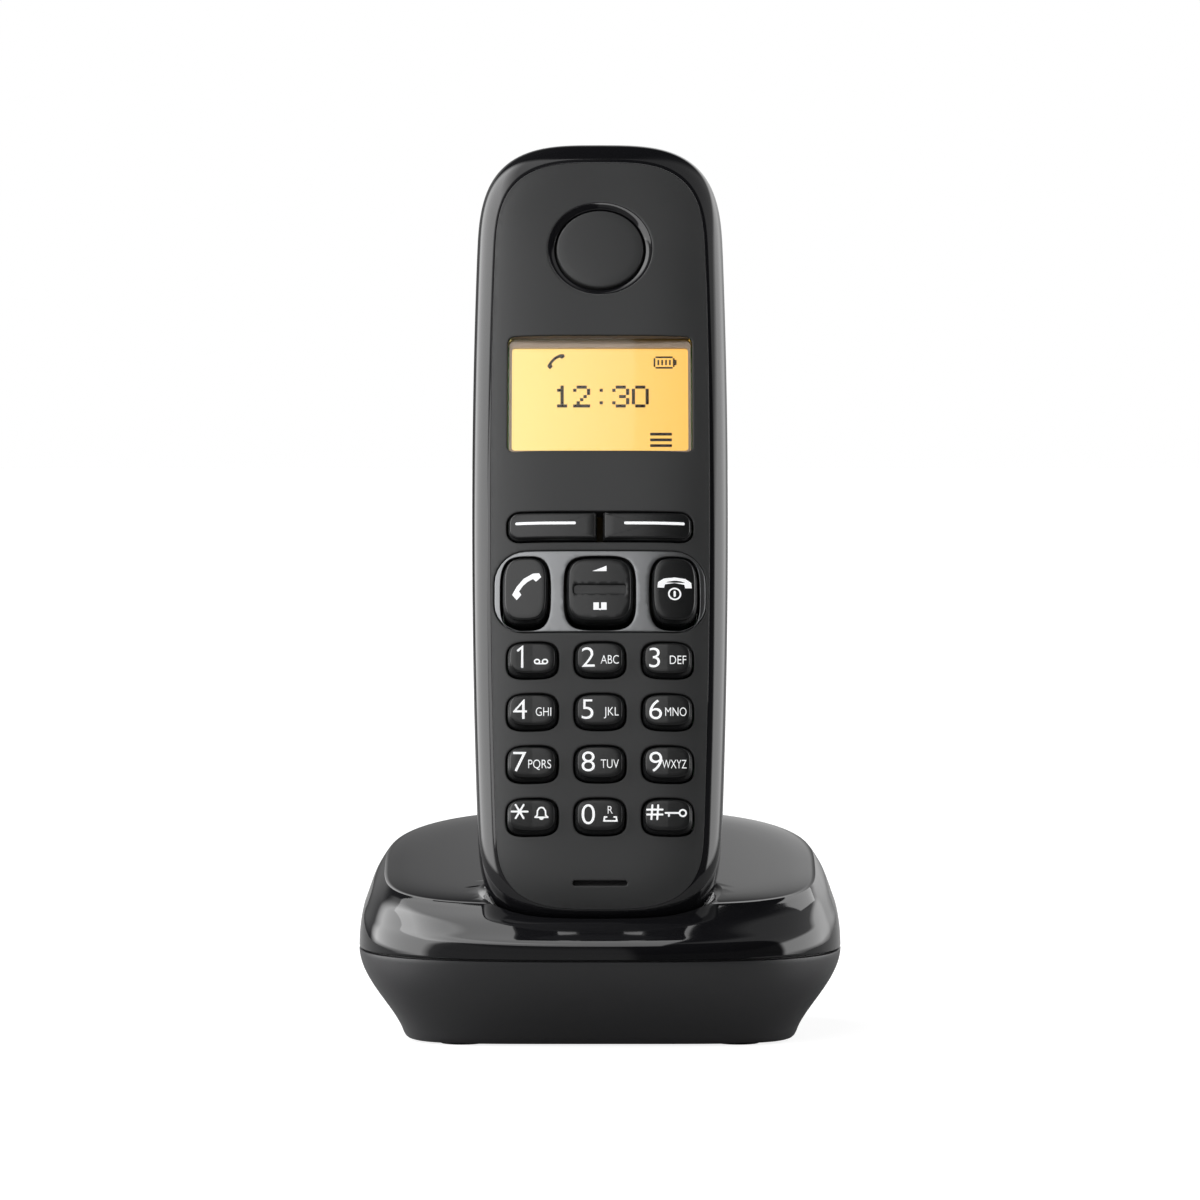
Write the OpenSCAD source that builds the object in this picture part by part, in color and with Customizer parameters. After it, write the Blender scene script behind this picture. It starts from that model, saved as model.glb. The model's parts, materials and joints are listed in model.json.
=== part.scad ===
// Cordless telephone: a handset standing in its charging base.
//
// Two frames are used. The base stands on z = 0 with its front towards -Y.
// The handset has a frame of its own: x across, z from its foot to its top,
// and y = 0 on the parting line between its front and rear casings, with
// the face towards -y. seat() carries it into the base's frame.

/* [Handset] */
// Length of the handset
handset_l = 160.5; // [158:0.5:162]
// Width of the handset at its widest
handset_w = 49; // [48:0.5:50]
// Depth from the parting line to the middle of the face
face_depth = 9; // [8.8:0.1:9.4]
// Depth from the parting line to the middle of the back
back_depth = 17; // [16.5:0.1:17.5]
// Radius of the handset's lengthwise bow
bow_r = 700; // [650:10:900]
// Lean of the handset from upright, in degrees
lean = 23; // [22:0.5:24]
// Wall thickness of the handset's casings
skin_t = 1.8; // [1.6:0.1:2]

/* [Keys] */
// Width of a number key
key_w = 9.4; // [9.2:0.1:9.7]
// Height of a number key along the face
key_h = 6.9; // [6.6:0.1:7.2]
// Spacing of the number keys across the face
key_pitch_x = 12.75; // [12.4:0.05:13]
// Spacing of the number keys along the face
key_pitch_z = 10.1; // [10:0.05:10.3]
// How far a key stands out of the face
key_rise = 1.3; // [1:0.1:1.5]
// Gap between a key and the edge of its opening
key_gap = 0.3; // [0.25:0.05:0.4]

/* [Base] */
// Width of the base at its seam
base_w = 92; // [90:0.5:94]
// Depth of the base at its seam
base_d = 80; // [79:0.5:82]
// Height of the seam between the base's two shells
seam_z = 16.7; // [16.5:0.1:17]
// Height of the base's top face above its middle
top_z = 32.3; // [32:0.1:32.6]
// Slope of the base's top face, rising towards the back
top_slope = 0.214; // [0.2:0.002:0.22]
// Wall thickness of the base's shells
base_t = 2; // [1.8:0.1:2.2]
// Clearance between the handset and the pocket it stands in
pocket_gap = 0.6; // [0.5:0.05:0.8]

/* [Hidden] */
$fn = 48;

// Where the base's middle lies, which centres the whole on the origin
base_y = -0.7;
// The foot of the handset's parting line, from the base's middle
seat_y = -30;
seat_z = 23;

// Outline of the handset
half_w = handset_w / 2;
mid_v = 77;              // height of the bow's crest
barrel_v = 89;           // height of the widest point
barrel = 0.68;           // narrowing at barrel_reach from there
barrel_reach = 49;
top_l = 25;              // length of the rounded top end
top_n = 3.25;            // its exponent, where 2 is an ellipse
foot_l = 19.5;           // the same at the foot
foot_n = 3.3;
face_n = 3.7;            // exponent of the face's cross-section
back_n = 2.6;            // exponent of the back's cross-section
front_core = [11.5, 120]; // heights between which the face's rings close
back_core = [16, 128];   // the same for the back
face_edge = 0.852;       // where the face plate ends, as a share of the outline
plate_back = 5.6;        // depth of the face plate's rear side
arc_steps = 9;
flank_steps = 9;

// Features on the face, as heights above the handset's foot
ear_v = 134.3;
ear_r = 10.1;
cap_r = 8.7;
window_v = 103.8;
window_w = 35.2;
window_h = 24;
soft_v = 76.4;
soft_w = 16.9;
soft_h = 5.7;
soft_x = 9;
bezel_v = 63.5;
bezel_w = 40;
bezel_h = 16.2;
call_x = 14.15;
call_w = 8.7;
call_h = 13.2;
nav_w = 12.7;
nav_h = 13.2;
row_v = 49.9;
mic_v = 7.1;
mic_w = 10.3;
mic_h = 1;
key_n = 3.4;             // exponent of a number key's outline
key_bottom = 4.6;        // depth of the keys' inner ends
dome_top = 3.4;          // depth of the membrane's domes

// Board of the handset
board_y = 0.4;
board_t = 1;
board_w = 37;
board_v = [13, 140];

// Battery bay
cell_d = 10.5;
cell_l = 44.5;
cell_x = 5.6;
cell_v = 35;
cell_y = 8.7;
cover_v = [30, 84];
cover_w = 31;
cover_r = 4;

// Screws of the handset: across, height, and where their bosses end behind
handset_screw_at = [[15.5, 128, 11.8], [11, 11.5, 15.4]];
screw_boss_d = 5;
screw_head_l = 1.6;

// Base
foot_drop = 0.35;        // how far the rubber feet stand below the shell
bottom_w = 74.4;
bottom_d = 64.6;
bottom_n = 5.2;
lower_bow = 1.7;         // how far the lower shell's sides bow out
seam_n = 3;
seam_back_n = 2.7;
top_w = 82;              // outline of the top face
top_front = 27;
top_back = 36;
top_front_n = 4;
top_back_n = 2.6;
seam_gap = 0.3;
base_points = 64;
board_z = 3.4;
base_board = [62, 50, 1.6];
base_board_y = 4.5;
base_screw_at = [[32, -17], [32, 20]];
base_foot_at = [[26, -25], [26, 25]];
base_foot_r = 4;
line_x = -9;
power_x = 8;
socket_back = 32;        // where the sockets' bodies end, from the base's middle
socket_nose = 3.2;       // how far their mouths reach into the shell's wall
socket_h = 10.4;
paging_x = 23;
paging_z = 10;
paging_r = 3.5;
contact_x = 8;
pad_y = 11.3;            // middle of the handset's charging pads
pad_v = 1.25;
pad_tilt = 23;

function clamp(v, r) = min(max(v, r[0]), r[1]);
function bow(v) = pow(v - mid_v, 2) / (2 * bow_r);
function tilt(v) = atan((v - mid_v) / bow_r);
function flank(v) = half_w - barrel * pow((v - barrel_v) / barrel_reach, 2);
function round_to(rho, n) = pow(max(0, 1 - pow(rho, n)), 1 / n);
function face_at(rho) = face_depth * round_to(rho, face_n);

// Depth of the back, which thins towards the top and towards the foot.
function back_max(v) = back_depth
    - (v > 60 ? 6 * pow((v - 60) / 97, 1.5) : 0)
    - (v < 45 ? 3 * pow((45 - v) / 45, 2) : 0);

// The right half of the handset's outline, from its foot up, as [x, v].
function half_outline(grow) = concat(
    [for (i = [0:arc_steps - 1]) let (a = 90 - 90 * i / arc_steps,
        v = foot_l - (foot_l + grow) * pow(sin(a), 2 / foot_n))
        [(flank(v) + grow) * pow(cos(a), 2 / foot_n), v]],
    [for (i = [0:flank_steps]) let (v = foot_l
        + (handset_l - top_l - foot_l) * i / flank_steps)
        [flank(v) + grow, v]],
    [for (i = [1:arc_steps]) let (a = 90 * i / arc_steps,
        v = handset_l - top_l + (top_l + grow) * pow(sin(a), 2 / top_n))
        [(flank(v) + grow) * pow(max(0, cos(a)), 2 / top_n), v]]);

// A closed ring from its right half, whose ends lie on x = 0.
function whole(half) = concat(half,
    [for (i = [len(half) - 2:-1:1]) [-half[i][0], half[i][1], half[i][2]]]);

// A ring of the handset: rho is its share of the outline, side is -1 in
// front and 1 behind, and share is its depth as a share of the back's,
// or depth its depth in millimetres in front.
function ring(rho, depth, core, grow = 0) = whole(
    [for (p = half_outline(grow)) let (s = clamp(p[1], core),
        v = s + (p[1] - s) * rho) [p[0] * rho, bow(v) - depth, v]]);
function back_ring(rho, inset = 0, grow = 0) = whole(
    [for (p = half_outline(grow)) let (s = clamp(p[1], back_core),
        v = s + (p[1] - s) * rho,
        d = (back_max(p[1]) + grow - inset) * round_to(rho, back_n))
        [p[0] * rho, bow(v) + d, v]]);

// A solid over rings of equal length, which go anticlockwise seen from
// where the last one faces. Rungs across x = 0 close both ends of a long
// ring, and spokes from its middle those of a round one.
function rungs(n, first, up) = concat(
    [up ? [first + n - 1, first + 1, first] : [first, first + 1, first + n - 1]],
    [for (k = [1:n / 2 - 2]) up
        ? [first + n - k, first + n - k - 1, first + k + 1, first + k]
        : [first + k, first + k + 1, first + n - k - 1, first + n - k]],
    [up ? [first + n / 2 + 1, first + n / 2, first + n / 2 - 1]
        : [first + n / 2 - 1, first + n / 2, first + n / 2 + 1]]);
function spokes(n, first, hub, up) = [for (k = [0:n - 1]) let (a = first + k,
    b = first + (k + 1) % n) up ? [hub, b, a] : [hub, a, b]];
function walls(n, count, closed) = [for (i = [0:count - (closed ? 1 : 2)])
    for (k = [0:n - 1]) let (a = i * n, b = (i + 1) % count * n, m = (k + 1) % n)
        each [[a + k, b + k, b + m], [a + k, b + m, a + m]]];
module skin(rings) {
    n = len(rings[0]);
    polyhedron([for (r = rings) each r], concat(walls(n, len(rings), false),
        rungs(n, 0, false), rungs(n, (len(rings) - 1) * n, true)));
}
module round_skin(rings) {
    n = len(rings[0]);
    count = len(rings);
    hubs = [for (r = [rings[0], rings[count - 1]]) (r[0] + r[n / 2]) / 2];
    polyhedron([for (r = concat(rings, [hubs])) each r], concat(walls(n, count, false),
        spokes(n, 0, n * count, false), spokes(n, n * (count - 1), n * count + 1, true)));
}
module hoop(rings) {
    polyhedron([for (r = rings) each r], walls(len(rings[0]), len(rings), true));
}

// Places its children on the handset, and on the bowed face at height v.
module seat() {
    translate([0, base_y + seat_y, seat_z]) rotate([-lean, 0, 0]) children();
}
module on_face(v, x = 0) {
    translate([x, bow(v), v]) rotate([-tilt(v), 0, 0]) children();
}
module in_base() {
    translate([0, base_y, 0]) children();
}

// A plate that stands out of the face from depth d0 to d1.
module stand_out(d0, d1) {
    translate([0, -d0, 0]) rotate([90, 0, 0]) linear_extrude(d1 - d0) children();
}
module round_rect(w, h, r) {
    polygon([for (c = [[1, -1, -90], [1, 1, 0], [-1, 1, 90], [-1, -1, 180]])
        for (i = [0:5]) let (a = c[2] + 18 * i)
            [c[0] * (w / 2 - r) + r * cos(a), c[1] * (h / 2 - r) + r * sin(a)]]);
}
function squircle(w, h, n, points) = [for (k = [0:points - 1])
    let (a = 360 * k / points, s = pow(pow(abs(sin(a)) * 2 / w, n)
        + pow(abs(cos(a)) * 2 / h, n), -1 / n)) [s * sin(a), -s * cos(a)]];
module mirrored() {
    children();
    mirror([1, 0, 0]) children();
}

// The whole handset as one closed body, grown on all sides.
module handset_body(grow) {
    skin(concat(
        [for (rho = [0.08, 0.35, 0.6, 0.78, 0.9, 0.97]) back_ring(rho, 0, grow)],
        [ring(1, 0, front_core, grow)],
        [for (rho = [0.98, 0.93, 0.853, 0.6, 0.1])
            ring(rho, (face_depth + grow) * round_to(rho, face_n), front_core, grow)]));
}

// ---------------------------------------------------------------- base

// A ring of the base: half-width a, half-depths and exponents before and
// behind, and a height that rises with y.
function base_ring(a, b, n, z, slope = 0) = [for (k = [0:base_points - 1])
    let (t = 360 * k / base_points, i = cos(t) > 0 ? 0 : 1,
        r = pow(pow(abs(sin(t)) / a, n[i]) + pow(abs(cos(t)) / b[i], n[i]), -1 / n[i]))
        [r * sin(t), -r * cos(t), z - slope * r * cos(t)]];
function mix(a, b, f) = a + (b - a) * f;

// Below the seam the sides flare out from the bottom as a sine does.
function lower_ring(z, inset) = let (s = pow(sin(90 * min(z / seam_z, 1)), lower_bow))
    base_ring(mix(bottom_w, base_w, s) / 2 - inset,
        [1, 1] * (mix(bottom_d, base_d, s) / 2 - inset),
        [mix(bottom_n, seam_n, s), mix(bottom_n, seam_back_n, s)], z);

// Above it, f leads from the seam's outline to the top face's, and g from
// the seam's height to the top face's.
function upper_ring(f, g, inset, drop) = base_ring(
    mix(base_w, top_w, f) / 2 - inset,
    [mix(base_d / 2, top_front, f) - inset, mix(base_d / 2, top_back, f) - inset],
    [mix(seam_n, top_front_n, f), mix(seam_back_n, top_back_n, f)],
    mix(seam_z, top_z, g) - drop, g * top_slope);
SHOULDER = [[0.03, 0.22], [0.12, 0.42], [0.28, 0.57], [0.55, 0.79], [0.82, 0.93], [1, 1]];

module base_lower_shell() {
    lip = 17.4;
    module boss(at) {
        translate([at[0], at[1], foot_drop + 1]) cylinder(d = 7, h = 8);
    }
    module post(at) {
        translate([at[0], at[1], foot_drop + 1]) cylinder(d = 5, h = board_z - foot_drop - 1);
    }
    color("#262628") in_base() difference() {
        union() {
            round_skin(concat([lower_ring(foot_drop, 1.1)],
                [for (z = [1.4, 4, 7, 10, 13, seam_z - seam_gap / 2]) lower_ring(z, 0)],
                [lower_ring(seam_z - seam_gap / 2, 1.1), lower_ring(lip, 1.1)],
                [for (z = [lip, 13, 9, 5, foot_drop + base_t]) lower_ring(z, base_t)]));
            mirrored() for (at = base_screw_at) boss(at);
            mirrored() for (y = [-12, 24]) post([25, y]);
        }
        mirrored() for (at = base_screw_at) translate([at[0], at[1], 0]) {
            translate([0, 0, -1]) cylinder(d = 5.2, h = 6);
            cylinder(d = 2.8, h = 12);
        }
        mirrored() for (at = base_foot_at)
            translate([at[0], at[1], -1]) cylinder(r = base_foot_r, h = 2.4);
        for (x = [[line_x, 11.6], [power_x, 9.6]])
            translate([x[0] - x[1] / 2, 24, board_z + base_board[2] + 0.6])
                cube([x[1], 20, socket_h - 1.2]);
        translate([paging_x, 24, paging_z]) rotate([-90, 0, 0]) cylinder(r = paging_r + 0.25, h = 20);
    }
}

module base_upper_shell() {
    step_z = 17.9;
    rim_z = seam_z + seam_gap / 2;
    module shell() {
        round_skin(concat(
            [for (i = [5:-1:0]) upper_ring(SHOULDER[i][0], SHOULDER[i][1], base_t, base_t * SHOULDER[i][1])],
            [lower_ring(step_z, base_t), lower_ring(step_z, 0.9), lower_ring(rim_z, 0.9)],
            [lower_ring(rim_z, 0)], [for (s = SHOULDER) upper_ring(s[0], s[1], 0, 0)]));
    }
    module envelope() {
        round_skin(concat([lower_ring(rim_z - 4, 3), lower_ring(rim_z, 3)],
            [for (s = SHOULDER) upper_ring(s[0], s[1], 0.05, 0.05)]));
    }
    module handset_here(grow) {
        translate([0, seat_y, seat_z]) rotate([-lean, 0, 0]) handset_body(grow);
    }
    color("#101012") in_base() difference() {
        union() {
            shell();
            intersection() {
                envelope();
                handset_here(pocket_gap + 1.6);
            }
            mirrored() for (at = base_screw_at) translate([at[0], at[1], foot_drop + 9.2])
                cylinder(d = 6.4, h = top_z + top_slope * at[1] - foot_drop - 10.4);
        }
        handset_here(pocket_gap);
        mirrored() for (at = base_screw_at) translate([at[0], at[1], foot_drop + 8])
            cylinder(d = 2.3, h = 9);
        translate([0, seat_y, seat_z]) rotate([-lean, 0, 0]) mirrored()
            translate([contact_x, pad_y, pad_v]) rotate([pad_tilt, 0, 0])
                translate([-1.4, -2.1, -5]) cube([2.8, 4.2, 5]);
    }
}

module base_feet() {
    color("#1c1c1c") in_base() mirrored() for (at = base_foot_at)
        translate([at[0], at[1], 0]) cylinder(r = base_foot_r - 0.05, h = 1.35);
}

module screw(head_d, head_h, shank_d, length) {
    difference() {
        union() {
            cylinder(d = head_d, h = head_h);
            cylinder(d = shank_d, h = length);
        }
        for (a = [0, 90]) rotate(a) translate([-1.2, -0.25, -1]) cube([2.4, 0.5, 1.8]);
    }
}

module base_screws() {
    color("#8c8f94") in_base() mirrored() for (at = base_screw_at)
        translate([at[0], at[1], 2.8]) screw(4.6, 2.15, 2.2, 13);
}

module base_circuit_board() {
    color("#1d5a35") in_base() difference() {
        translate([0, base_board_y, board_z]) linear_extrude(base_board[2])
            round_rect(base_board[0], base_board[1], 6);
        mirrored() for (at = base_screw_at) translate([at[0], at[1], 0]) cylinder(d = 7.6, h = 10);
    }
}

module on_board(x, y) {
    in_base() translate([x, y, board_z + base_board[2]]) children();
}

module base_shield_can() {
    color("#b9bcc0") on_board(-16, -4) difference() {
        translate([-8, -7, 0]) cube([16, 14, 2.6]);
        translate([-7.7, -6.7, -1]) cube([15.4, 13.4, 3.3]);
    }
}

module base_capacitors() {
    color("#27364f") for (x = [-22, 16.5, 22]) on_board(x, 13) cylinder(d = 5, h = 7);
}

// Two bent strips of sprung steel that stand on the board.
module base_antennas() {
    color("#c2b280") for (x = [-27, 25]) on_board(x, 4) {
        translate([0, -7, 0]) cube([0.4, 3, 9]);
        translate([0, -7, 9]) cube([0.4, 16, 3]);
    }
}

// A socket's body, and its nose in the wall's opening.
module socket_body(w) {
    translate([-w / 2, socket_back - 15, 0]) cube([w, 15, socket_h]);
    translate([1 - w / 2, socket_back - 1, 1]) cube([w - 2, 1 + socket_nose, socket_h - 2]);
}

module line_socket() {
    color("#1b1b1d") on_board(line_x, 0) difference() {
        socket_body(13);
        translate([-4.95, socket_back - 12.5, 1.8]) cube([9.9, 16, 6.6]);
        translate([-1.6, socket_back - 8, 1.3]) cube([3.2, 12, 2]);
    }
}

module line_socket_contacts() {
    color("#d4a93a") on_board(line_x, 0) for (i = [-1.5:1:1.5])
        translate([i * 1.02 - 0.2, socket_back - 12, 7.9]) rotate([-6, 0, 0])
            cube([0.4, 8, 0.3]);
}

module power_socket() {
    color("#1b1b1d") on_board(power_x, 0) difference() {
        socket_body(11);
        translate([0, socket_back - 9.5, socket_h / 2]) rotate([-90, 0, 0]) cylinder(d = 6.4, h = 13);
    }
}

module power_socket_pin() {
    color("#c9ccd1") on_board(power_x, 0)
        translate([0, socket_back - 9.5, socket_h / 2]) rotate([-90, 0, 0]) cylinder(d = 2, h = 10);
}

module paging_button() {
    color("#303033") in_base() translate([paging_x, 0, paging_z]) rotate([-90, 0, 0]) {
        translate([0, 0, 30.4]) cylinder(r = paging_r, h = 7.9);
        translate([0, 0, 29.8]) cylinder(r = paging_r + 0.7, h = 1);
    }
}

module paging_switch() {
    color("#3b3b3e") on_board(paging_x, 0) {
        translate([-3, 24.3, 0]) cube([6, 3.4, 7.4]);
        translate([0, 27.6, paging_z - board_z - base_board[2]]) rotate([-90, 0, 0])
            cylinder(r = 1.5, h = 1.2);
    }
}

// A leaf that rises from the board and bends over under a charging pad.
module charge_contact(side) {
    foot_y = seat_y + pad_y * cos(lean) + pad_v * sin(lean) + 0.8;
    leaf_z = seat_z - pad_y * sin(lean) + pad_v * cos(lean) - 0.7;
    color("#d8b54a") in_base() union() {
        translate([0, seat_y, seat_z]) rotate([-lean, 0, 0])
            translate([side * contact_x, pad_y, pad_v]) rotate([pad_tilt, 0, 0])
                translate([-1.1, -1.7, -0.7]) cube([2.2, 3.4, 0.4]);
        translate([side * contact_x - 0.8, foot_y, board_z + base_board[2]])
            cube([1.6, 0.4, leaf_z + 0.2 - board_z - base_board[2]]);
    }
}

// ------------------------------------------------------------- handset

module handset_front_frame() {
    inner = 1 - skin_t / half_w;
    color("#0e0e10") seat() hoop(concat(
        [for (rho = [1, 0.99, 0.97, 0.94, 0.9, face_edge]) ring(rho, face_at(rho), front_core)],
        [ring(face_edge, plate_back - 0.1, front_core)],
        [ring(inner, 3.4, front_core), ring(inner, 0, front_core)]));
}

// The matte plate that carries the keys, the window and the earpiece.
module handset_face_plate() {
    rim = face_edge - 0.004;
    module opening(v, x = 0) {
        on_face(v, x) stand_out(3, 14) children();
    }
    color("#3a3b3d") seat() difference() {
        union() {
            skin(concat([ring(rim, plate_back, front_core)],
                [for (rho = [rim, 0.72, 0.5, 0.25, 0.06]) ring(rho, face_at(rho), front_core)]));
            mirrored() for (s = handset_screw_at) translate([s[0], 2, s[1]])
                rotate([90, 0, 0]) cylinder(d = screw_boss_d, h = 7);
        }
        mirrored() for (s = handset_screw_at) translate([s[0], 3, s[1]])
            rotate([90, 0, 0]) cylinder(d = 2.25, h = 6);
        opening(ear_v) circle(r = ear_r);
        opening(window_v) round_rect(window_w + 0.2, window_h + 0.2, 1.3);
        opening(soft_v) round_rect(2 * (soft_x + soft_w / 2 + key_gap), soft_h + 2 * key_gap, 2.4);
        opening(bezel_v) round_rect(bezel_w + 0.2, bezel_h + 0.2, 6.1);
        for (r = [0:3]) for (c = [-1:1]) opening(row_v - r * key_pitch_z, c * key_pitch_x)
            polygon(squircle(key_w + 2 * key_gap, key_h + 2 * key_gap, key_n, 32));
        opening(mic_v) round_rect(mic_w, mic_h, 0.45);
    }
}

module rear_skin() {
    skin(concat([for (rho = [0.08, 0.35, 0.6, 0.78, 0.9, 0.97]) back_ring(rho)],
        [back_ring(1), ring(1 - skin_t / half_w, 0, back_core)],
        [for (rho = [0.95, 0.87, 0.75, 0.55, 0.3, 0.08])
            back_ring(rho * (1 - skin_t / half_w), skin_t)]));
}
module cover_prism(grow) {
    translate([0, 30, (cover_v[0] + cover_v[1]) / 2]) rotate([90, 0, 0])
        linear_extrude(25) round_rect(cover_w + 2 * grow, cover_v[1] - cover_v[0] + 2 * grow, cover_r);
}

module handset_rear_shell() {
    color("#141416") seat() difference() {
        union() {
            rear_skin();
            mirrored() for (s = handset_screw_at) translate([s[0], 2.2, s[1]])
                rotate([-90, 0, 0]) cylinder(d = screw_boss_d, h = s[2] - 2.2);
        }
        cover_prism(0.2);
        mirrored() for (s = handset_screw_at) translate([s[0], 0, s[1]]) rotate([-90, 0, 0]) {
            cylinder(d = 2.4, h = 30);
            translate([0, 0, s[2] - screw_head_l]) cylinder(d = 4.2, h = 20);
        }
        for (i = [-2:2]) translate([i * 3, 0, 112]) rotate([-90, 0, 0]) cylinder(d = 1.4, h = 30);
        mirrored() translate([contact_x, pad_y, pad_v]) rotate([pad_tilt, 0, 0])
            translate([-2.6, -2.1, -2]) cube([5.2, 4.2, 5]);
    }
}

module handset_screws() {
    color("#8c8f94") seat() mirrored() for (s = handset_screw_at)
        translate([s[0], s[2] + 0.05, s[1]]) rotate([90, 0, 0])
            screw(3.9, screw_head_l, 2.2, s[2] + 2.5);
}

module handset_circuit_board() {
    color("#1d5a35") seat() difference() {
        translate([0, board_y + board_t, (board_v[0] + board_v[1]) / 2]) rotate([90, 0, 0])
            linear_extrude(board_t) round_rect(board_w, board_v[1] - board_v[0], 3);
        mirrored() for (s = handset_screw_at) translate([s[0], -5, s[1]])
            rotate([-90, 0, 0]) cylinder(d = screw_boss_d + 0.6, h = 10);
        translate([0, -5, ear_v]) rotate([-90, 0, 0]) cylinder(r = 9.8, h = 10);
    }
}

module behind_board(v, x = 0) {
    translate([x, board_y + board_t, v]) rotate([-90, 0, 0]) children();
}

module handset_shield_can() {
    color("#b9bcc0") seat() behind_board(100, 5) difference() {
        translate([-9, -8, 0]) cube([18, 16, 2.4]);
        translate([-8.7, -7.7, -1]) cube([17.4, 15.4, 3.1]);
    }
}

module handset_antenna() {
    color("#c2b280") seat() behind_board(117) {
        translate([-9, -2.5, 0]) cube([1.5, 2.5, 3]);
        translate([-9, -2.5, 3]) cube([18, 2.5, 0.4]);
    }
}

module handset_charge_pads() {
    color("#d8b54a") seat() mirrored() translate([contact_x, pad_y, pad_v]) rotate([pad_tilt, 0, 0])
        translate([-2.5, -2, 0.1]) cube([5, 4, 0.6]);
}

module battery_cover() {
    color("#141416") seat() intersection() {
        rear_skin();
        cover_prism(0);
    }
}

module battery_tray() {
    w = 2 * (cell_x + cell_d / 2) + 0.6;
    color("#202022") seat() difference() {
        translate([-w / 2 - 1, 2.1, cell_v - 4.6]) cube([w + 2, 8.6, cell_l + 8.4]);
        translate([-w / 2, 3.1, cell_v - 3.6]) cube([w, 12, cell_l + 6.4]);
    }
}

// One AAA cell along z, with its raised positive end up or down.
module cell(x, up) {
    nub = 0.8;
    color("#3f7d54") seat() translate([x, cell_y, cell_v]) union() {
        translate([0, 0, up ? 0 : nub]) cylinder(d = cell_d, h = cell_l - nub);
        cylinder(d = 3.6, h = cell_l);
    }
}
module battery_left() cell(-cell_x, true);
module battery_right() cell(cell_x, false);

// A sprung ring under each negative end and a plate over each positive one.
module battery_contacts() {
    color("#c9ccd1") seat() for (side = [-1, 1]) {
        spring_v = side < 0 ? cell_v - 3.4 : cell_v + cell_l + 0.1;
        plate_v = side < 0 ? cell_v + cell_l + 0.2 : cell_v - 0.7;
        translate([side * cell_x, cell_y, spring_v]) difference() {
            cylinder(d = 6.4, h = 2.6);
            translate([0, 0, -1]) cylinder(d = 5.4, h = 5);
        }
        translate([side * cell_x - 3.5, cell_y - 3.5, plate_v]) cube([7, 7, 0.5]);
    }
}

module display_window() {
    color([0.75, 0.8, 0.8, 0.35]) seat() on_face(window_v)
        stand_out(7, 8.35) round_rect(window_w, window_h, 1.2);
}

module display_frame() {
    color("#6d5a3a") seat() on_face(window_v) stand_out(6.4, 6.9) difference() {
        round_rect(window_w - 0.4, window_h - 0.4, 1.1);
        translate([0, -0.5]) round_rect(window_w - 1.4, window_h - 2.4, 0.6);
    }
}

module display_panel() {
    color("#f3c968") seat() on_face(window_v) stand_out(0.8, 6.3)
        round_rect(window_w - 0.4, window_h - 0.4, 1.1);
}

module earpiece_cap() {
    color("#3a3b3d") seat() on_face(ear_v) {
        stand_out(4.9, 8.8) circle(r = cap_r);
        stand_out(4.2, 5.2) circle(r = ear_r + 0.8);
    }
}

module earpiece_speaker() {
    color("#2a2a2c") seat() on_face(ear_v) union() {
        stand_out(0.6, 4) circle(r = 9);
        stand_out(-1.2, 0.8) circle(r = 5);
    }
}

module microphone() {
    color("#b9bcc0") seat() on_face(mic_v) stand_out(3.2, 5.2) circle(r = 2);
}

module ringer_speaker() {
    color("#2a2a2c") seat() translate([0, 7.5, 112]) rotate([-90, 0, 0]) union() {
        cylinder(r = 8, h = 3);
        translate([0, 0, -1.5]) cylinder(r = 4, h = 2);
    }
}

// A silicone mat on the board with one dome under each key.
module keypad_membrane() {
    module dome(v, x, r) {
        translate([x, board_y, v]) rotate([90, 0, 0])
            cylinder(r = r, h = board_y + dome_top - bow(v));
    }
    color("#2b2d30") seat() union() {
        translate([0, board_y, 49.7]) rotate([90, 0, 0]) linear_extrude(0.7) round_rect(35, 68.6, 2);
        for (r = [0:3]) for (c = [-1:1]) dome(row_v - r * key_pitch_z, c * key_pitch_x, 2.4);
        for (c = [-1, 1]) {
            dome(bezel_v, c * call_x, 2.4);
            dome(soft_v, c * soft_x, 2);
            dome(bezel_v + c * 4, 0, 1.8);
        }
    }
}

// The shiny surround of the three call keys.
module key_bezel() {
    color("#2b2c2e") seat() on_face(bezel_v) stand_out(5, 8.9) difference() {
        round_rect(bezel_w, bezel_h, 6);
        for (c = [-1, 1]) translate([c * call_x, -0.4])
            polygon(squircle(call_w + 0.9, call_h + 1.7, key_n, 32));
        translate([0, -0.4]) polygon(squircle(nav_w + 0.9, nav_h + 1.7, 4, 32));
    }
}

// A key's body: straight through the plate, then drawn in to its top.
module key_body(w, h, n, top) {
    function level(shrink, depth) = [for (p = squircle(w - shrink, h - shrink, n, 32)) [p[0], -depth, p[1]]];
    skin([level(0, key_bottom), level(0, top - key_rise), level(0.35, top - 0.5),
        level(0.9, top - 0.12), level(1.6, top)]);
}

module number_key(row, column) {
    color("#2c2d2f") seat() on_face(row_v - row * key_pitch_z, column * key_pitch_x)
        key_body(key_w, key_h, key_n, face_at(abs(column) * 0.52) + key_rise);
}

module call_key(side) {
    color("#2c2d2f") seat() on_face(bezel_v, side * call_x)
        key_body(call_w, call_h, key_n, face_at(0.58) + key_rise + 0.3);
}
module talk_key() call_key(-1);
module end_key() call_key(1);

module nav_key() {
    top = face_depth + key_rise + 0.2;
    color("#2c2d2f") seat() on_face(bezel_v) difference() {
        key_body(nav_w, nav_h, 4, top);
        stand_out(top - 0.4, top + 1) round_rect(9.8, 1.9, 0.5);
    }
}

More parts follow.
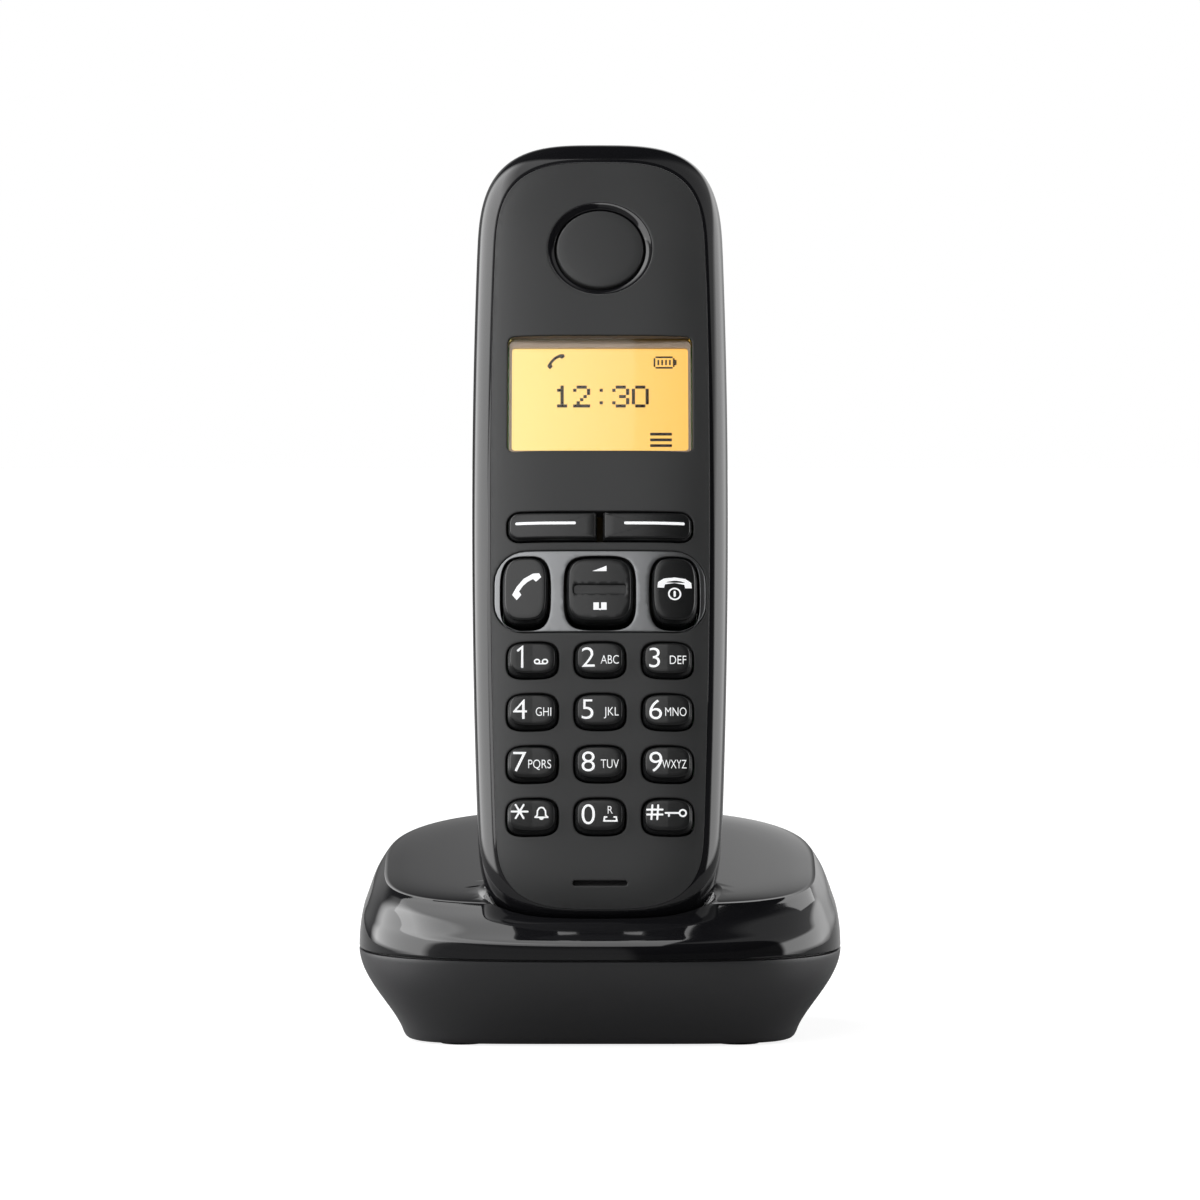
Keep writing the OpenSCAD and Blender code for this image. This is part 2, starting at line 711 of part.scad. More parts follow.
module soft_key(side) {
    function outline(shrink) = let (x = soft_w / 2 - shrink, z = soft_h / 2 - shrink, r = 2.1 - shrink)
        concat([[-x, -z]], [for (a = [-90:15:0]) [x - r + r * cos(a), -z + r + r * sin(a)]],
            [for (a = [0:15:90]) [x - r + r * cos(a), z - r + r * sin(a)]], [[-x, z]]);
    color("#2c2d2f") seat() on_face(soft_v) mirror([side < 0 ? 1 : 0, 0, 0]) translate([soft_x, 0, 0])
        difference() {
            stand_out(key_bottom, face_at(0.36) + 1) polygon(outline(0));
            stand_out(face_at(0.36) + 0.6, 12) difference() {
                square(40, center = true);
                polygon(outline(0.35));
            }
        }
}
module soft_key_left() soft_key(-1);
module soft_key_right() soft_key(1);

base_lower_shell();
base_upper_shell();
base_feet();
base_screws();
base_circuit_board();
base_shield_can();
base_capacitors();
base_antennas();
line_socket();
line_socket_contacts();
power_socket();
power_socket_pin();
paging_button();
paging_switch();
charge_contact(-1);  // charge_contact_left
charge_contact(1);  // charge_contact_right
handset_front_frame();
handset_face_plate();
handset_rear_shell();
handset_screws();
handset_circuit_board();
handset_shield_can();
handset_antenna();
handset_charge_pads();
battery_cover();
battery_tray();
battery_left();
battery_right();
battery_contacts();
display_window();
display_frame();
display_panel();
earpiece_cap();
earpiece_speaker();
microphone();
ringer_speaker();
keypad_membrane();
key_bezel();
soft_key_left();
soft_key_right();
talk_key();
nav_key();
end_key();
number_key(0, -1);  // key_1
number_key(0, 0);  // key_2
number_key(0, 1);  // key_3
number_key(1, -1);  // key_4
number_key(1, 0);  // key_5
number_key(1, 1);  // key_6
number_key(2, -1);  // key_7
number_key(2, 0);  // key_8
number_key(2, 1);  // key_9
number_key(3, -1);  // key_star
number_key(3, 0);  // key_0
number_key(3, 1);  // key_hash
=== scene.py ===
"""Cordless phone with base: pieces, materials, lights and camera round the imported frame."""
import json
from math import atan, atan2, ceil, cos, pi, radians, sin, sqrt

import bmesh
import bpy
import numpy as np
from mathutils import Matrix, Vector
from mathutils.geometry import delaunay_2d_cdt


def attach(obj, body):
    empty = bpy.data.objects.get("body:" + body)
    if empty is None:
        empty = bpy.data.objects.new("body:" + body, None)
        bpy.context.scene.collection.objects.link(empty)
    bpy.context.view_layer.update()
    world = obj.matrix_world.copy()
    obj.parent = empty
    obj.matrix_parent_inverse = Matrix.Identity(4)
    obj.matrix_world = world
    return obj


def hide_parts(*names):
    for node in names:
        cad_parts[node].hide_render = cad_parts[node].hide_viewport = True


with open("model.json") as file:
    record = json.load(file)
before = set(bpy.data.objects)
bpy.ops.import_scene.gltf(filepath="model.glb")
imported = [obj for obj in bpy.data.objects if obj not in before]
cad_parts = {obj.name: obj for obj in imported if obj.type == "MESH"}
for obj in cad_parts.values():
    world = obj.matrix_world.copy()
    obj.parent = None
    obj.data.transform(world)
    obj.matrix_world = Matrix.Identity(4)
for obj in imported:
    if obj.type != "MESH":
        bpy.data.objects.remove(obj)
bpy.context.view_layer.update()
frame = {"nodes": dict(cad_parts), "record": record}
nodes = frame["nodes"]
scene = bpy.context.scene

# ------------------------------------------------------------------ shape
# Lengths are in millimetres until place() and in_base() turn them into metres.
# The handset's own frame has x across, v up from its foot, and y = 0 on the
# parting line, with the face towards -y.
LEAN = radians(23)
BASE_Y = -0.7
SEAT_Y = -30.0
SEAT_Z = 23.0
HALF_W = 24.5
LENGTH = 160.5
FACE_DEPTH = 9.0
BACK_DEPTH = 17.0
BOW_R = 700.0
MID_V = 77.0
BARREL, BARREL_V, BARREL_REACH = 0.68, 89.0, 49.0
TOP_L, TOP_N, FOOT_L, FOOT_N = 25.0, 3.25, 19.5, 3.3
FACE_N, BACK_N = 3.7, 2.6
FRONT_CORE, BACK_CORE = (11.5, 120.0), (16.0, 128.0)
FACE_EDGE = 0.852
PLATE_BACK = 5.6
SKIN = 1.8
KEY_RISE = 1.3
KEY_LOW = 4.6
MERGE = 2e-6


def place(x, y, v):
    """A point of the handset's frame in the shared frame."""
    return Vector((x, BASE_Y + SEAT_Y + y * cos(LEAN) + v * sin(LEAN),
                   SEAT_Z - y * sin(LEAN) + v * cos(LEAN))) / 1000


def in_base(x, y, z):
    """A point of the base's frame in the shared frame."""
    return Vector((x, y + BASE_Y, z)) / 1000


def mix(a, b, f):
    return a + (b - a) * f


def bow(v):
    return (v - MID_V) ** 2 / (2 * BOW_R)


def tilt(v):
    return atan((v - MID_V) / BOW_R)


def flank(v):
    return HALF_W - BARREL * ((v - BARREL_V) / BARREL_REACH) ** 2


def round_to(rho, n):
    return max(0.0, 1 - rho ** n) ** (1 / n)


def half_width(v, grow=0.0):
    """Half the handset's width at height v."""
    if v <= -grow or v >= LENGTH + grow:
        return 0.0
    share = 1.0
    if v < FOOT_L:
        s = ((FOOT_L - v) / (FOOT_L + grow)) ** (FOOT_N / 2)
        share = max(0.0, 1 - s * s) ** (1 / FOOT_N)
    elif v > LENGTH - TOP_L:
        s = ((v - LENGTH + TOP_L) / (TOP_L + grow)) ** (TOP_N / 2)
        share = max(0.0, 1 - s * s) ** (1 / TOP_N)
    return (flank(v) + grow) * share


def back_max(v):
    thin = 6 * ((v - 60) / 97) ** 1.5 if v > 60 else 0
    return (BACK_DEPTH - thin - (3 * ((45 - v) / 45) ** 2 if v < 45 else 0)) * 0.992


def back_depth(rho, v, out_v):
    """The back's depth, which follows the outline's height except near the core."""
    far = min(1.0, rho / 0.4)
    return mix(back_max(v), back_max(out_v), far * far * (3 - 2 * far))


def share_at(x, v, core):
    """How far (x, v) lies from the rings' core to the outline, and the outline's height there."""
    x = abs(x)
    end = min(max(v, core[0]), core[1])
    if end == v:
        return min(1.0, x / half_width(v)), v
    low, high = 1e-4, 1.0
    for _ in range(26):                  # halvings, down to a few nanometres
        rho = (low + high) / 2
        if x / rho > half_width(end + (v - end) / rho):
            low = rho
        else:
            high = rho
    return high, end + (v - end) / high


def face_y(x, v):
    return bow(v) - FACE_DEPTH * round_to(share_at(x, v, FRONT_CORE)[0], FACE_N)


def back_y(x, v, inset=0.0):
    rho, out_v = share_at(x, v, BACK_CORE)
    return bow(v) + (back_depth(rho, v, out_v) - inset) * round_to(rho, BACK_N)


def half_outline(grow, steps=30):
    points = []
    for i in range(steps):
        a = pi / 2 * (1 - i / steps)
        v = FOOT_L - (FOOT_L + grow) * sin(a) ** (2 / FOOT_N)
        points.append(((flank(v) + grow) * abs(cos(a)) ** (2 / FOOT_N) if i else 0.0, v))
    for i in range(2 * steps + 1):
        v = mix(FOOT_L, LENGTH - TOP_L, i / (2 * steps))
        points.append((flank(v) + grow, v))
    for i in range(1, steps + 1):
        a = pi / 2 * i / steps
        v = LENGTH - TOP_L + (TOP_L + grow) * sin(a) ** (2 / TOP_N)
        points.append(((flank(v) + grow) * abs(cos(a)) ** (2 / TOP_N) if i < steps else 0.0, v))
    return points


def ring(rho, depth_of, core, grow=0.0):
    """A closed loop [(x, y, v)] at a share rho of the outline.

    depth_of is given the loop's v and the outline's v there."""
    half = []
    for x, out_v in half_outline(grow):
        end = min(max(out_v, core[0]), core[1])
        v = end + (out_v - end) * rho
        half.append((x * rho, bow(v) + depth_of(v, out_v), v))
    return half + [(-x, y, v) for x, y, v in reversed(half[1:-1])]


def front_ring(rho, depth, grow=0.0):
    return ring(rho, lambda v, out_v: -depth, FRONT_CORE, grow)


def back_ring(rho, inset=0.0, grow=0.0):
    return ring(rho, lambda v, out_v: (back_depth(rho, v, out_v) + grow - inset)
                * round_to(rho, BACK_N), BACK_CORE, grow)


def quarter(steps):
    """A rounded edge's steps: what is left to turn, and what has been turned, of its radius."""
    return [(1 - sin(pi / 2 * i / steps), 1 - cos(pi / 2 * i / steps))
            for i in range(steps + 1)]


def placed(loops):
    return [[place(*p) for p in loop] for loop in loops]


# ------------------------------------------------------------------ meshes
def plain_object(name, verts, faces):
    """An object from points in metres, with doubles merged and its faces turned outwards."""
    mesh = bpy.data.meshes.new(name)
    mesh.from_pydata([tuple(p) for p in verts], [], faces)
    bm = bmesh.new()
    bm.from_mesh(mesh)
    bmesh.ops.remove_doubles(bm, verts=bm.verts, dist=MERGE)
    bmesh.ops.recalc_face_normals(bm, faces=bm.faces)
    bm.to_mesh(mesh)
    bm.free()
    obj = bpy.data.objects.new(name, mesh)
    scene.collection.objects.link(obj)
    return obj


def dress(obj, body, node, slot, paint, sharp):
    """Gives a piece its material and shading, on a body, in place of a CAD node."""
    obj.data.materials.clear()
    obj.data.materials.append(paint or BY_SLOT[slot])
    obj.data.shade_smooth()
    obj.data.set_sharp_from_angle(angle=radians(sharp))
    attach(obj, body)
    if node:
        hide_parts(node)


def build(name, shape, body, node, slot, paint=None, sharp=38):
    """Makes a visible piece from (points in metres, faces)."""
    dress(plain_object(name, *shape), body, node, slot, paint, sharp)


def bridge(first, second, n):
    """Quads between two loops of n points that start at those indices."""
    return [(first + k, first + (k + 1) % n, second + (k + 1) % n, second + k)
            for k in range(n)]


def loft(loops, closed=False, flat=False):
    """Walls between loops, closed by a fan or one flat face at the first and the last."""
    n = len(loops[0])
    verts = [Vector(p) for loop in loops for p in loop]
    faces = []
    for i in range(len(loops) - (0 if closed else 1)):
        faces += bridge(i * n, (i + 1) % len(loops) * n, n)
    if not closed:
        for first in (0, (len(loops) - 1) * n):
            if flat:
                faces.append(tuple(range(first, first + n)))
            else:
                verts.append(sum((verts[first + k] for k in range(n)), Vector()) / n)
                faces += [(first + k, first + (k + 1) % n, len(verts) - 1)
                          for k in range(n)]
    return verts, faces


def inside(points, loop):
    """Which of the points lie inside a closed 2D loop."""
    p = np.asarray(points, float).reshape(-1, 2)
    a = np.asarray(loop, float)
    b = np.roll(a, -1, 0)
    hit = np.zeros(len(p), bool)
    for (ax, ay), (bx, by) in zip(a, b):
        if ay == by:
            continue
        cross = (ay > p[:, 1]) != (by > p[:, 1])
        hit ^= cross & (p[:, 0] < (bx - ax) * (p[:, 1] - ay) / (by - ay) + ax)
    return hit


def tiles(outer, holes, step):
    """Points and triangles over the region inside one loop and outside others."""
    lines = [list(outer)] + [list(h) for h in holes]
    points = [p for loop in lines for p in loop]
    edges = []
    first = 0
    for loop in lines:
        edges += [(first + k, first + (k + 1) % len(loop)) for k in range(len(loop))]
        first += len(loop)
    xs = [p[0] for p in outer]
    ys = [p[1] for p in outer]
    grid = []
    row = 0
    y = min(ys) + step / 2
    while y < max(ys):
        x = min(xs) + step * (0.25 if row % 2 else 0.75)
        while x < max(xs):
            grid.append((x, y))
            x += step
        y += step * 0.87
        row += 1
    grid = np.array(grid)
    keep = inside(grid, outer)
    for h in holes:
        keep &= ~inside(grid, h)
    grid = grid[keep]
    near = np.array(points)
    far = np.ones(len(grid), bool)
    for i in range(0, len(near), 200):
        gap = grid[:, None, :] - near[None, i:i + 200, :]
        far &= (np.sum(gap * gap, 2) > (0.55 * step) ** 2).all(1)
    points = points + [tuple(p) for p in grid[far]]
    made = delaunay_2d_cdt([Vector(p) for p in points], edges, [], 0, 1e-7)
    verts, tris = made[0], [f for f in made[2] if len(f) == 3]
    middles = [((verts[f[0]] + verts[f[1]] + verts[f[2]]) / 3) for f in tris]
    ok = inside(middles, outer)
    for h in holes:
        ok &= ~inside(middles, h)
    return [tuple(p) for p in verts], [f for f, good in zip(tris, ok) if good]


def panel(rim, holes, front, back, step, back_step=None):
    """A closed plate, in metres. The rim and each hole are chains of loops [(x, y, v)], whose
    first is on the front and whose last is on the back; front and back give y there."""
    verts, faces, spots = [], [], []
    for side, height, gap in ((0, front, step), (-1, back, back_step or step)):
        chains = [rim] + list(holes)
        flat = [[(p[0], p[2]) for p in chain[side]] for chain in chains]
        points, tris = tiles(flat[0], flat[1:], gap)
        first = len(verts)
        known = [p for chain in chains for p in chain[side]]
        verts += [known[i] if i < len(known) else (x, height(x, v), v)
                  for i, (x, v) in enumerate(points)]
        faces += [tuple(first + i for i in f) for f in tris]
        starts, at = [], first
        for chain in chains:
            starts.append(at)
            at += len(chain[side])
        spots.append(starts)
    for c, chain in enumerate([rim] + list(holes)):
        n = len(chain[0])
        last = spots[0][c]
        for loop in chain[1:-1]:
            verts += loop
            faces += bridge(last, len(verts) - n, n)
            last = len(verts) - n
        faces += bridge(last, spots[1][c], n)
    return [place(*p) for p in verts], faces


# Loops on the face, [(x, z)], that grow on every side.
def rounded(w, h, radii, grow=0.0, arc=7):
    """Radii go from the lower right corner anticlockwise."""
    radii = [radii] * 4 if not isinstance(radii, (list, tuple)) else list(radii)
    corners = [(1, -1, -90), (1, 1, 0), (-1, 1, 90), (-1, -1, 180)]
    parts = []
    for (sx, sz, start), r in zip(corners, radii):
        cx, cz = sx * (w / 2 - r), sz * (h / 2 - r)
        parts.append([(cx + (r + grow) * cos(radians(start + 90 * i / arc)),
                       cz + (r + grow) * sin(radians(start + 90 * i / arc)))
                      for i in range(arc + 1)])
    spans = [h - radii[0] - radii[1], w - radii[1] - radii[2],
             h - radii[2] - radii[3], w - radii[3] - radii[0]]
    loop = []
    for k, part in enumerate(parts):
        loop += part
        a, b = part[-1], parts[(k + 1) % 4][0]
        count = max(1, ceil(spans[k] / 1.1))
        loop += [(mix(a[0], b[0], i / count), mix(a[1], b[1], i / count))
                 for i in range(1, count)]
    return loop


def squircle(w, h, n, grow=0.0, count=64):
    w, h = w + 2 * grow, h + 2 * grow
    loop = []
    for k in range(count):
        t = 2 * pi * k / count
        r = ((abs(sin(t)) * 2 / w) ** n + (abs(cos(t)) * 2 / h) ** n) ** (-1 / n)
        loop.append((r * sin(t), -r * cos(t)))
    return loop


def circle(r, grow=0.0, count=72):
    return [((r + grow) * sin(2 * pi * k / count), -(r + grow) * cos(2 * pi * k / count))
            for k in range(count)]


def on_face(v0, x0, x, z, depth):
    """A point on the handset, from the spot (v0, x0) of its bowed face."""
    t = tilt(v0)
    return (x0 + x, bow(v0) - depth * cos(t) + z * sin(t), v0 + depth * sin(t) + z * cos(t))


def skin_depth(v0, x0, x, z):
    """The depth at which that line meets the face."""
    t = tilt(v0)
    depth = 8.8
    for _ in range(3):
        _, _, v = on_face(v0, x0, x, z, depth)
        depth = (bow(v0) + z * sin(t) - face_y(x0 + x, v)) / cos(t)
    return depth


def opening(v0, x0, shape, fillet=0.25, lead=0.3):
    """A chain of loops down the wall of an opening in the face, with a rounded edge."""
    chain = []
    if lead:
        chain.append([on_face(v0, x0, x, z, skin_depth(v0, x0, x, z))
                      for x, z in shape(fillet + lead)])
    edge = [skin_depth(v0, x0, x, z) for x, z in shape(fillet)]
    for left, turned in quarter(4):
        chain.append([on_face(v0, x0, x, z, depth - fillet * turned)
                      for (x, z), depth in zip(shape(fillet * left), edge)])
    chain.append([on_face(v0, x0, x, z, PLATE_BACK) for x, z in shape(0)])
    return chain


def key_form(v0, x0, shape, top, draft=0.45, edge=0.35, rise=KEY_RISE, lift=0.12, rings=5):
    """A key: straight through the plate, drawn in by draft towards a rounded edge and a nearly
    flat top that stands rise over the face and is shifted up by lift."""
    loops = []

    def level(grow, depth_at, shift=0.0):
        loops.append([on_face(v0, x0, x, z + shift, depth_at(x, z)) for x, z in shape(grow)])

    level(0, lambda x, z: KEY_LOW)
    level(0, lambda x, z: top(x, z) - rise - 0.35)
    level(0, lambda x, z: top(x, z) - rise - 0.1)
    level(-0.04, lambda x, z: top(x, z) - rise + 0.15)
    for f in (0.35, 0.7):
        level(mix(-0.04, -draft, f), lambda x, z, f=f: top(x, z) - mix(rise - 0.15, edge, f),
              lift * f)
    for left, turned in quarter(5):
        level(-draft - edge * turned, lambda x, z, left=left: top(x, z) - edge * left, lift)
    rim = shape(-draft - edge)
    for k in range(1, rings):
        f = 1 - k / rings
        loops.append([on_face(v0, x0, x * f, z * f + lift, top(x * f, z * f)) for x, z in rim])
    verts, faces = loft(loops)
    return [place(*p) for p in verts], faces


# ------------------------------------------------------------------ materials
PIXEL = 0.36


def add(tree, kind, values=(), links=()):
    """A shader node, with values and links for its inputs by name or number."""
    made = tree.nodes.new("ShaderNode" + kind)
    for key, value in dict(values).items():
        made.inputs[key].default_value = value
    for key, socket in dict(links).items():
        tree.links.new(socket, made.inputs[key])
    return made


def blend(tree, kind, first, second):
    """Two colours mixed in full by a kind such as ADD."""
    made = tree.nodes.new("ShaderNodeMix")
    made.data_type = "RGBA"
    made.blend_type = kind
    made.inputs["Factor"].default_value = 1
    tree.links.new(first, made.inputs["A"])
    tree.links.new(second, made.inputs["B"])
    return made.outputs["Result"]


def material(name, color, rough, metallic=0.0, grain=0.0, grain_mm=0.3, vary=0.0,
             specular=0.5, coat=0.0, wear=0.0):
    """Moulded plastic or metal: fine grain in the bump and slow changes in the gloss."""
    m = bpy.data.materials.new(name)
    m.use_nodes = True
    tree = m.node_tree
    shader = tree.nodes["Principled BSDF"].inputs
    shader["Base Color"].default_value = (*color, 1)
    shader["Metallic"].default_value = metallic
    shader["Roughness"].default_value = rough
    shader["Specular IOR Level"].default_value = specular
    if coat:
        shader["Coat Weight"].default_value = coat
        shader["Coat Roughness"].default_value = 0.04
    where = add(tree, "TexCoord").outputs["Object"]
    slow = add(tree, "TexNoise", {"Scale": 90, "Detail": 3}, {"Vector": where}).outputs["Fac"]
    gloss = add(tree, "MapRange", {"To Min": rough * (1 - vary), "To Max": rough * (1 + vary)},
                {"Value": slow})
    tree.links.new(gloss.outputs["Result"], shader["Roughness"])
    if wear:
        ramp = add(tree, "ValToRGB", links={"Fac": slow})
        for mark, share in zip(ramp.color_ramp.elements, (1 - wear, 1 + wear)):
            mark.color = (*[min(1, c * share) for c in color], 1)
        tree.links.new(ramp.outputs["Color"], shader["Base Color"])
    if grain:
        fine = add(tree, "TexNoise", {"Scale": 1000 / grain_mm, "Detail": 2}, {"Vector": where})
        bump = add(tree, "Bump", {"Strength": 1, "Distance": grain / 1000},
                   {"Height": fine.outputs["Fac"]})
        tree.links.new(bump.outputs["Normal"], shader["Normal"])
    return m


def glow(paint, strength):
    """The shader's inputs, after white emission of that strength."""
    shader = paint.node_tree.nodes["Principled BSDF"].inputs
    shader["Emission Color"].default_value = (1, 1, 1, 1)
    shader["Emission Strength"].default_value = strength
    return shader


BY_SLOT = {
    "gloss_black": material("gloss_black_plastic", (0.006, 0.006, 0.007), 0.07, vary=0.25),
    "face_charcoal": material("face_matte_plastic", (0.030, 0.0305, 0.031), 0.47, grain=0.006,
                              grain_mm=0.16, vary=0.08, specular=0.35, wear=0.06),
    "key_charcoal": material("key_satin_plastic", (0.010, 0.0103, 0.0106), 0.24, grain=0.003,
                             grain_mm=0.14, vary=0.1, specular=0.3, wear=0.05),
    "bezel_chrome": material("bezel_dark_metal", (0.16, 0.163, 0.167), 0.3, metallic=0.85,
                             grain=0.002, grain_mm=0.2, vary=0.15),
    "base_grey": material("base_satin_plastic", (0.03, 0.03, 0.032), 0.42, grain=0.006,
                          grain_mm=0.2, vary=0.1, wear=0.06),
    "base_gloss": material("base_gloss_plastic", (0.006, 0.006, 0.007), 0.05, vary=0.25),
    "black_plastic": material("socket_black_plastic", (0.012, 0.012, 0.013), 0.4, grain=0.006,
                              grain_mm=0.2, vary=0.15),
    "feet_rubber": material("foot_rubber", (0.02, 0.02, 0.02), 0.8, grain=0.02, grain_mm=0.3,
                            vary=0.1),
    "screw_steel": material("screw_steel", (0.5, 0.5, 0.52), 0.3, metallic=1, grain=0.004,
                            vary=0.3),
    "board_green": material("board_green_lacquer", (0.012, 0.12, 0.045), 0.3, grain=0.01,
                            grain_mm=0.8, vary=0.2, coat=0.4, wear=0.2),
    "tin_plate": material("shield_tin_plate", (0.62, 0.63, 0.64), 0.28, metallic=1,
                          grain=0.004, vary=0.3),
    "contact_gold": material("contact_gold_plate", (0.83, 0.6, 0.25), 0.25, metallic=1,
                             grain=0.002, vary=0.3),
    "nickel": material("nickel_plate", (0.66, 0.64, 0.6), 0.24, metallic=1, grain=0.002,
                       vary=0.3),
    "cell_sleeve": material("cell_sleeve_film", (0.05, 0.22, 0.1), 0.25, grain=0.004,
                            vary=0.2, wear=0.15),
    "mat_silicone": material("silicone_mat", (0.02, 0.021, 0.022), 0.6, grain=0.01, vary=0.1,
                             wear=0.05),
    "capacitor_sleeve": material("capacitor_sleeve_film", (0.02, 0.035, 0.09), 0.3,
                                 grain=0.004, vary=0.2),
    "cone_black": material("speaker_cone_paper", (0.015, 0.015, 0.016), 0.7, grain=0.03,
                           vary=0.1),
    "display_surround": material("display_bronze_film", (0.34, 0.25, 0.18), 0.3,
                                 metallic=0.35, grain=0.003, vary=0.2, wear=0.1),
}
gauze = material("microphone_gauze_cloth", (0.02, 0.02, 0.021), 0.7, grain=0.05,
                 grain_mm=0.25, vary=0.1)
glowing_ink = material("legend_white_ink", (0.86, 0.87, 0.88), 0.45, grain=0.002, vary=0.1)
# The white ink is given a faint glow of its own: painted light that makes the printed legends
# brighter than the lamps alone would.
glow(glowing_ink, 0.25)
pixel_ink = material("display_pixel_ink", (0.03, 0.018, 0.01), 0.6, grain=0.002, vary=0.1,
                     specular=0.1)


def backlit_painted_reflection_material():
    """A backlit amber display with its faint pixel grid; its glow is paler on the left, a painted
    reflection of a light on the lens.
    """
    m = material("display_backlit_amber_painted_reflection", (0.3, 0.2, 0.06), 0.4, vary=0.1)
    tree = m.node_tree
    where = add(tree, "TexCoord").outputs["Object"]
    split = add(tree, "SeparateXYZ", links={"Vector": where})
    across = add(tree, "MapRange", {"From Min": -0.017, "From Max": 0.017},
                 {"Value": split.outputs["X"]})
    # The ramp paints the glow pale on the left and amber on the right: a painted reflection of a
    # light on the lens, not the backlight's own colour.
    ramp = add(tree, "ValToRGB", links={"Fac": across.outputs["Result"]})
    ramp.color_ramp.elements[0].color = (1.0, 0.78, 0.27, 1)
    ramp.color_ramp.elements[1].color = (1.0, 0.54, 0.08, 1)
    cells = add(tree, "TexBrick", {
        "Scale": 1000 / PIXEL, "Mortar Size": 0.03, "Brick Width": 1, "Row Height": 1,
        "Color1": (1, 1, 1, 1), "Color2": (1, 1, 1, 1), "Mortar": (0.93, 0.93, 0.93, 1),
    }, {"Vector": where})
    cells.offset = 0
    glow_with_painted_reflection = blend(tree, "MULTIPLY", ramp.outputs["Color"], cells.outputs["Color"])
    shader = glow(m, 0.97)
    tree.links.new(glow_with_painted_reflection, shader["Emission Color"])
    return m


def clear_material():
    """A clear lens: it lets light straight through and reflects as acrylic does."""
    m = bpy.data.materials.new("window_clear_acrylic")
    m.use_nodes = True
    tree = m.node_tree
    tree.nodes.remove(tree.nodes["Principled BSDF"])
    through = add(tree, "BsdfTransparent", {"Color": (0.97, 0.97, 0.96, 1)})
    gloss = add(tree, "BsdfGlossy", {"Roughness": 0.03})
    fresnel = add(tree, "Fresnel", {"IOR": 1.27})
    both = add(tree, "MixShader", links={"Fac": fresnel.outputs["Fac"],
                                         1: through.outputs["BSDF"], 2: gloss.outputs["BSDF"]})
    tree.links.new(both.outputs["Shader"], tree.nodes["Material Output"].inputs["Surface"])
    return m


BY_SLOT["display_amber"] = backlit_painted_reflection_material()
BY_SLOT["window_clear"] = clear_material()
SLOT_OF = {row["node"]: row["material_slot"] for row in frame["record"]["subparts"]}

# ------------------------------------------------------------------ handset casings
# Gloss frame: fine rings from the parting line round to the face plate.
FRAME_DEPTH, FRAME_STEPS, LIP = 7.18, 24, 0.003
INNER = 1 - SKIN / HALF_W
frame_loops = []
for i in range(FRAME_STEPS + 1):
    depth = FRAME_DEPTH * i / FRAME_STEPS
    frame_loops.append(front_ring((1 - (depth / FACE_DEPTH) ** FACE_N) ** (1 / FACE_N), depth))
lip_depth = FACE_DEPTH * round_to(FACE_EDGE + LIP, FACE_N) - 0.01
frame_loops += [front_ring(FACE_EDGE + LIP * left, lip_depth - 0.06 * turned)
                for left, turned in quarter(4)[1:]]
frame_loops += [front_ring(FACE_EDGE, PLATE_BACK - 0.1), front_ring(INNER, 3.4),
                front_ring(INNER, 0)]
build("gloss_frame", loft(placed(frame_loops), closed=True), "handset", "handset_front_frame",
      "gloss_black")

# Face plate, with a rounded edge at every opening.
EAR_V, WINDOW_V, SOFT_V, BEZEL_V, ROW_V, MIC_V = 134.3, 103.8, 76.4, 63.5, 49.9, 7.1
PITCH_X, PITCH_Z, KEY_W, KEY_H, KEY_N = 12.75, 10.1, 9.4, 6.9, 3.4
CALL_X, CALL_W, CALL_H = 14.15, 8.7, 13.2
NAV_W, NAV_H = 12.7, 13.2
SOFT_X, SOFT_W, SOFT_H = 9.0, 16.9, 5.7
PLATE_RHO, PLATE_LIP = FACE_EDGE - 0.001, 0.004
rim_depth = FACE_DEPTH * round_to(PLATE_RHO - PLATE_LIP, FACE_N)
plate_rim = [front_ring(PLATE_RHO - PLATE_LIP * left, rim_depth - 0.09 * turned)
             for left, turned in quarter(4)]
plate_rim.append(front_ring(PLATE_RHO, PLATE_BACK))
plate_holes = [
    opening(EAR_V, 0, lambda g: circle(10.1, g)),
    opening(WINDOW_V, 0, lambda g: rounded(35.4, 24.2, 1.3, g), 0.2),
    opening(SOFT_V, 0, lambda g: rounded(2 * SOFT_X + SOFT_W + 0.6, 6.3, 2.4, g), 0.2),
    opening(BEZEL_V, 0, lambda g: rounded(40.2, 16.4, 6.1, g), 0.3, lead=0),
    opening(MIC_V, 0, lambda g: rounded(10.3, 1.0, 0.45, g), 0.15),
]
for row in range(4):
    for column in (-1, 0, 1):
        plate_holes.append(opening(ROW_V - row * PITCH_Z, column * PITCH_X,
                                   lambda g: squircle(KEY_W + 0.6, KEY_H + 0.6, KEY_N, g), 0.2))
plate = panel(plate_rim, plate_holes, face_y, lambda x, v: bow(v) - PLATE_BACK, 0.8, 2.5)
build("face_plate", plate, "handset", "handset_face_plate", "face_charcoal")

# Rear casing: the steep sides are rings and the back is a sheet with its openings.
COVER_V = 57.0


def cover_shape(grow):
    return rounded(31, 54, 4, grow)


def on_back(shape, v0, x0, grow, drop, inset=0.0):
    return [(x0 + x, back_y(x0 + x, v0 + z, inset) - drop, v0 + z) for x, z in shape(grow)]


def back_opening(shape, v0, x0=0.0, fillet=0.25):
    """A chain of loops through the rear casing, with a rounded edge."""
    chain = [on_back(shape, v0, x0, fillet + 0.35, 0)]
    chain += [on_back(shape, v0, x0, fillet * left, fillet * turned)
              for left, turned in quarter(3)]
    chain.append(on_back(shape, v0, x0, 0, 0, SKIN))
    return chain


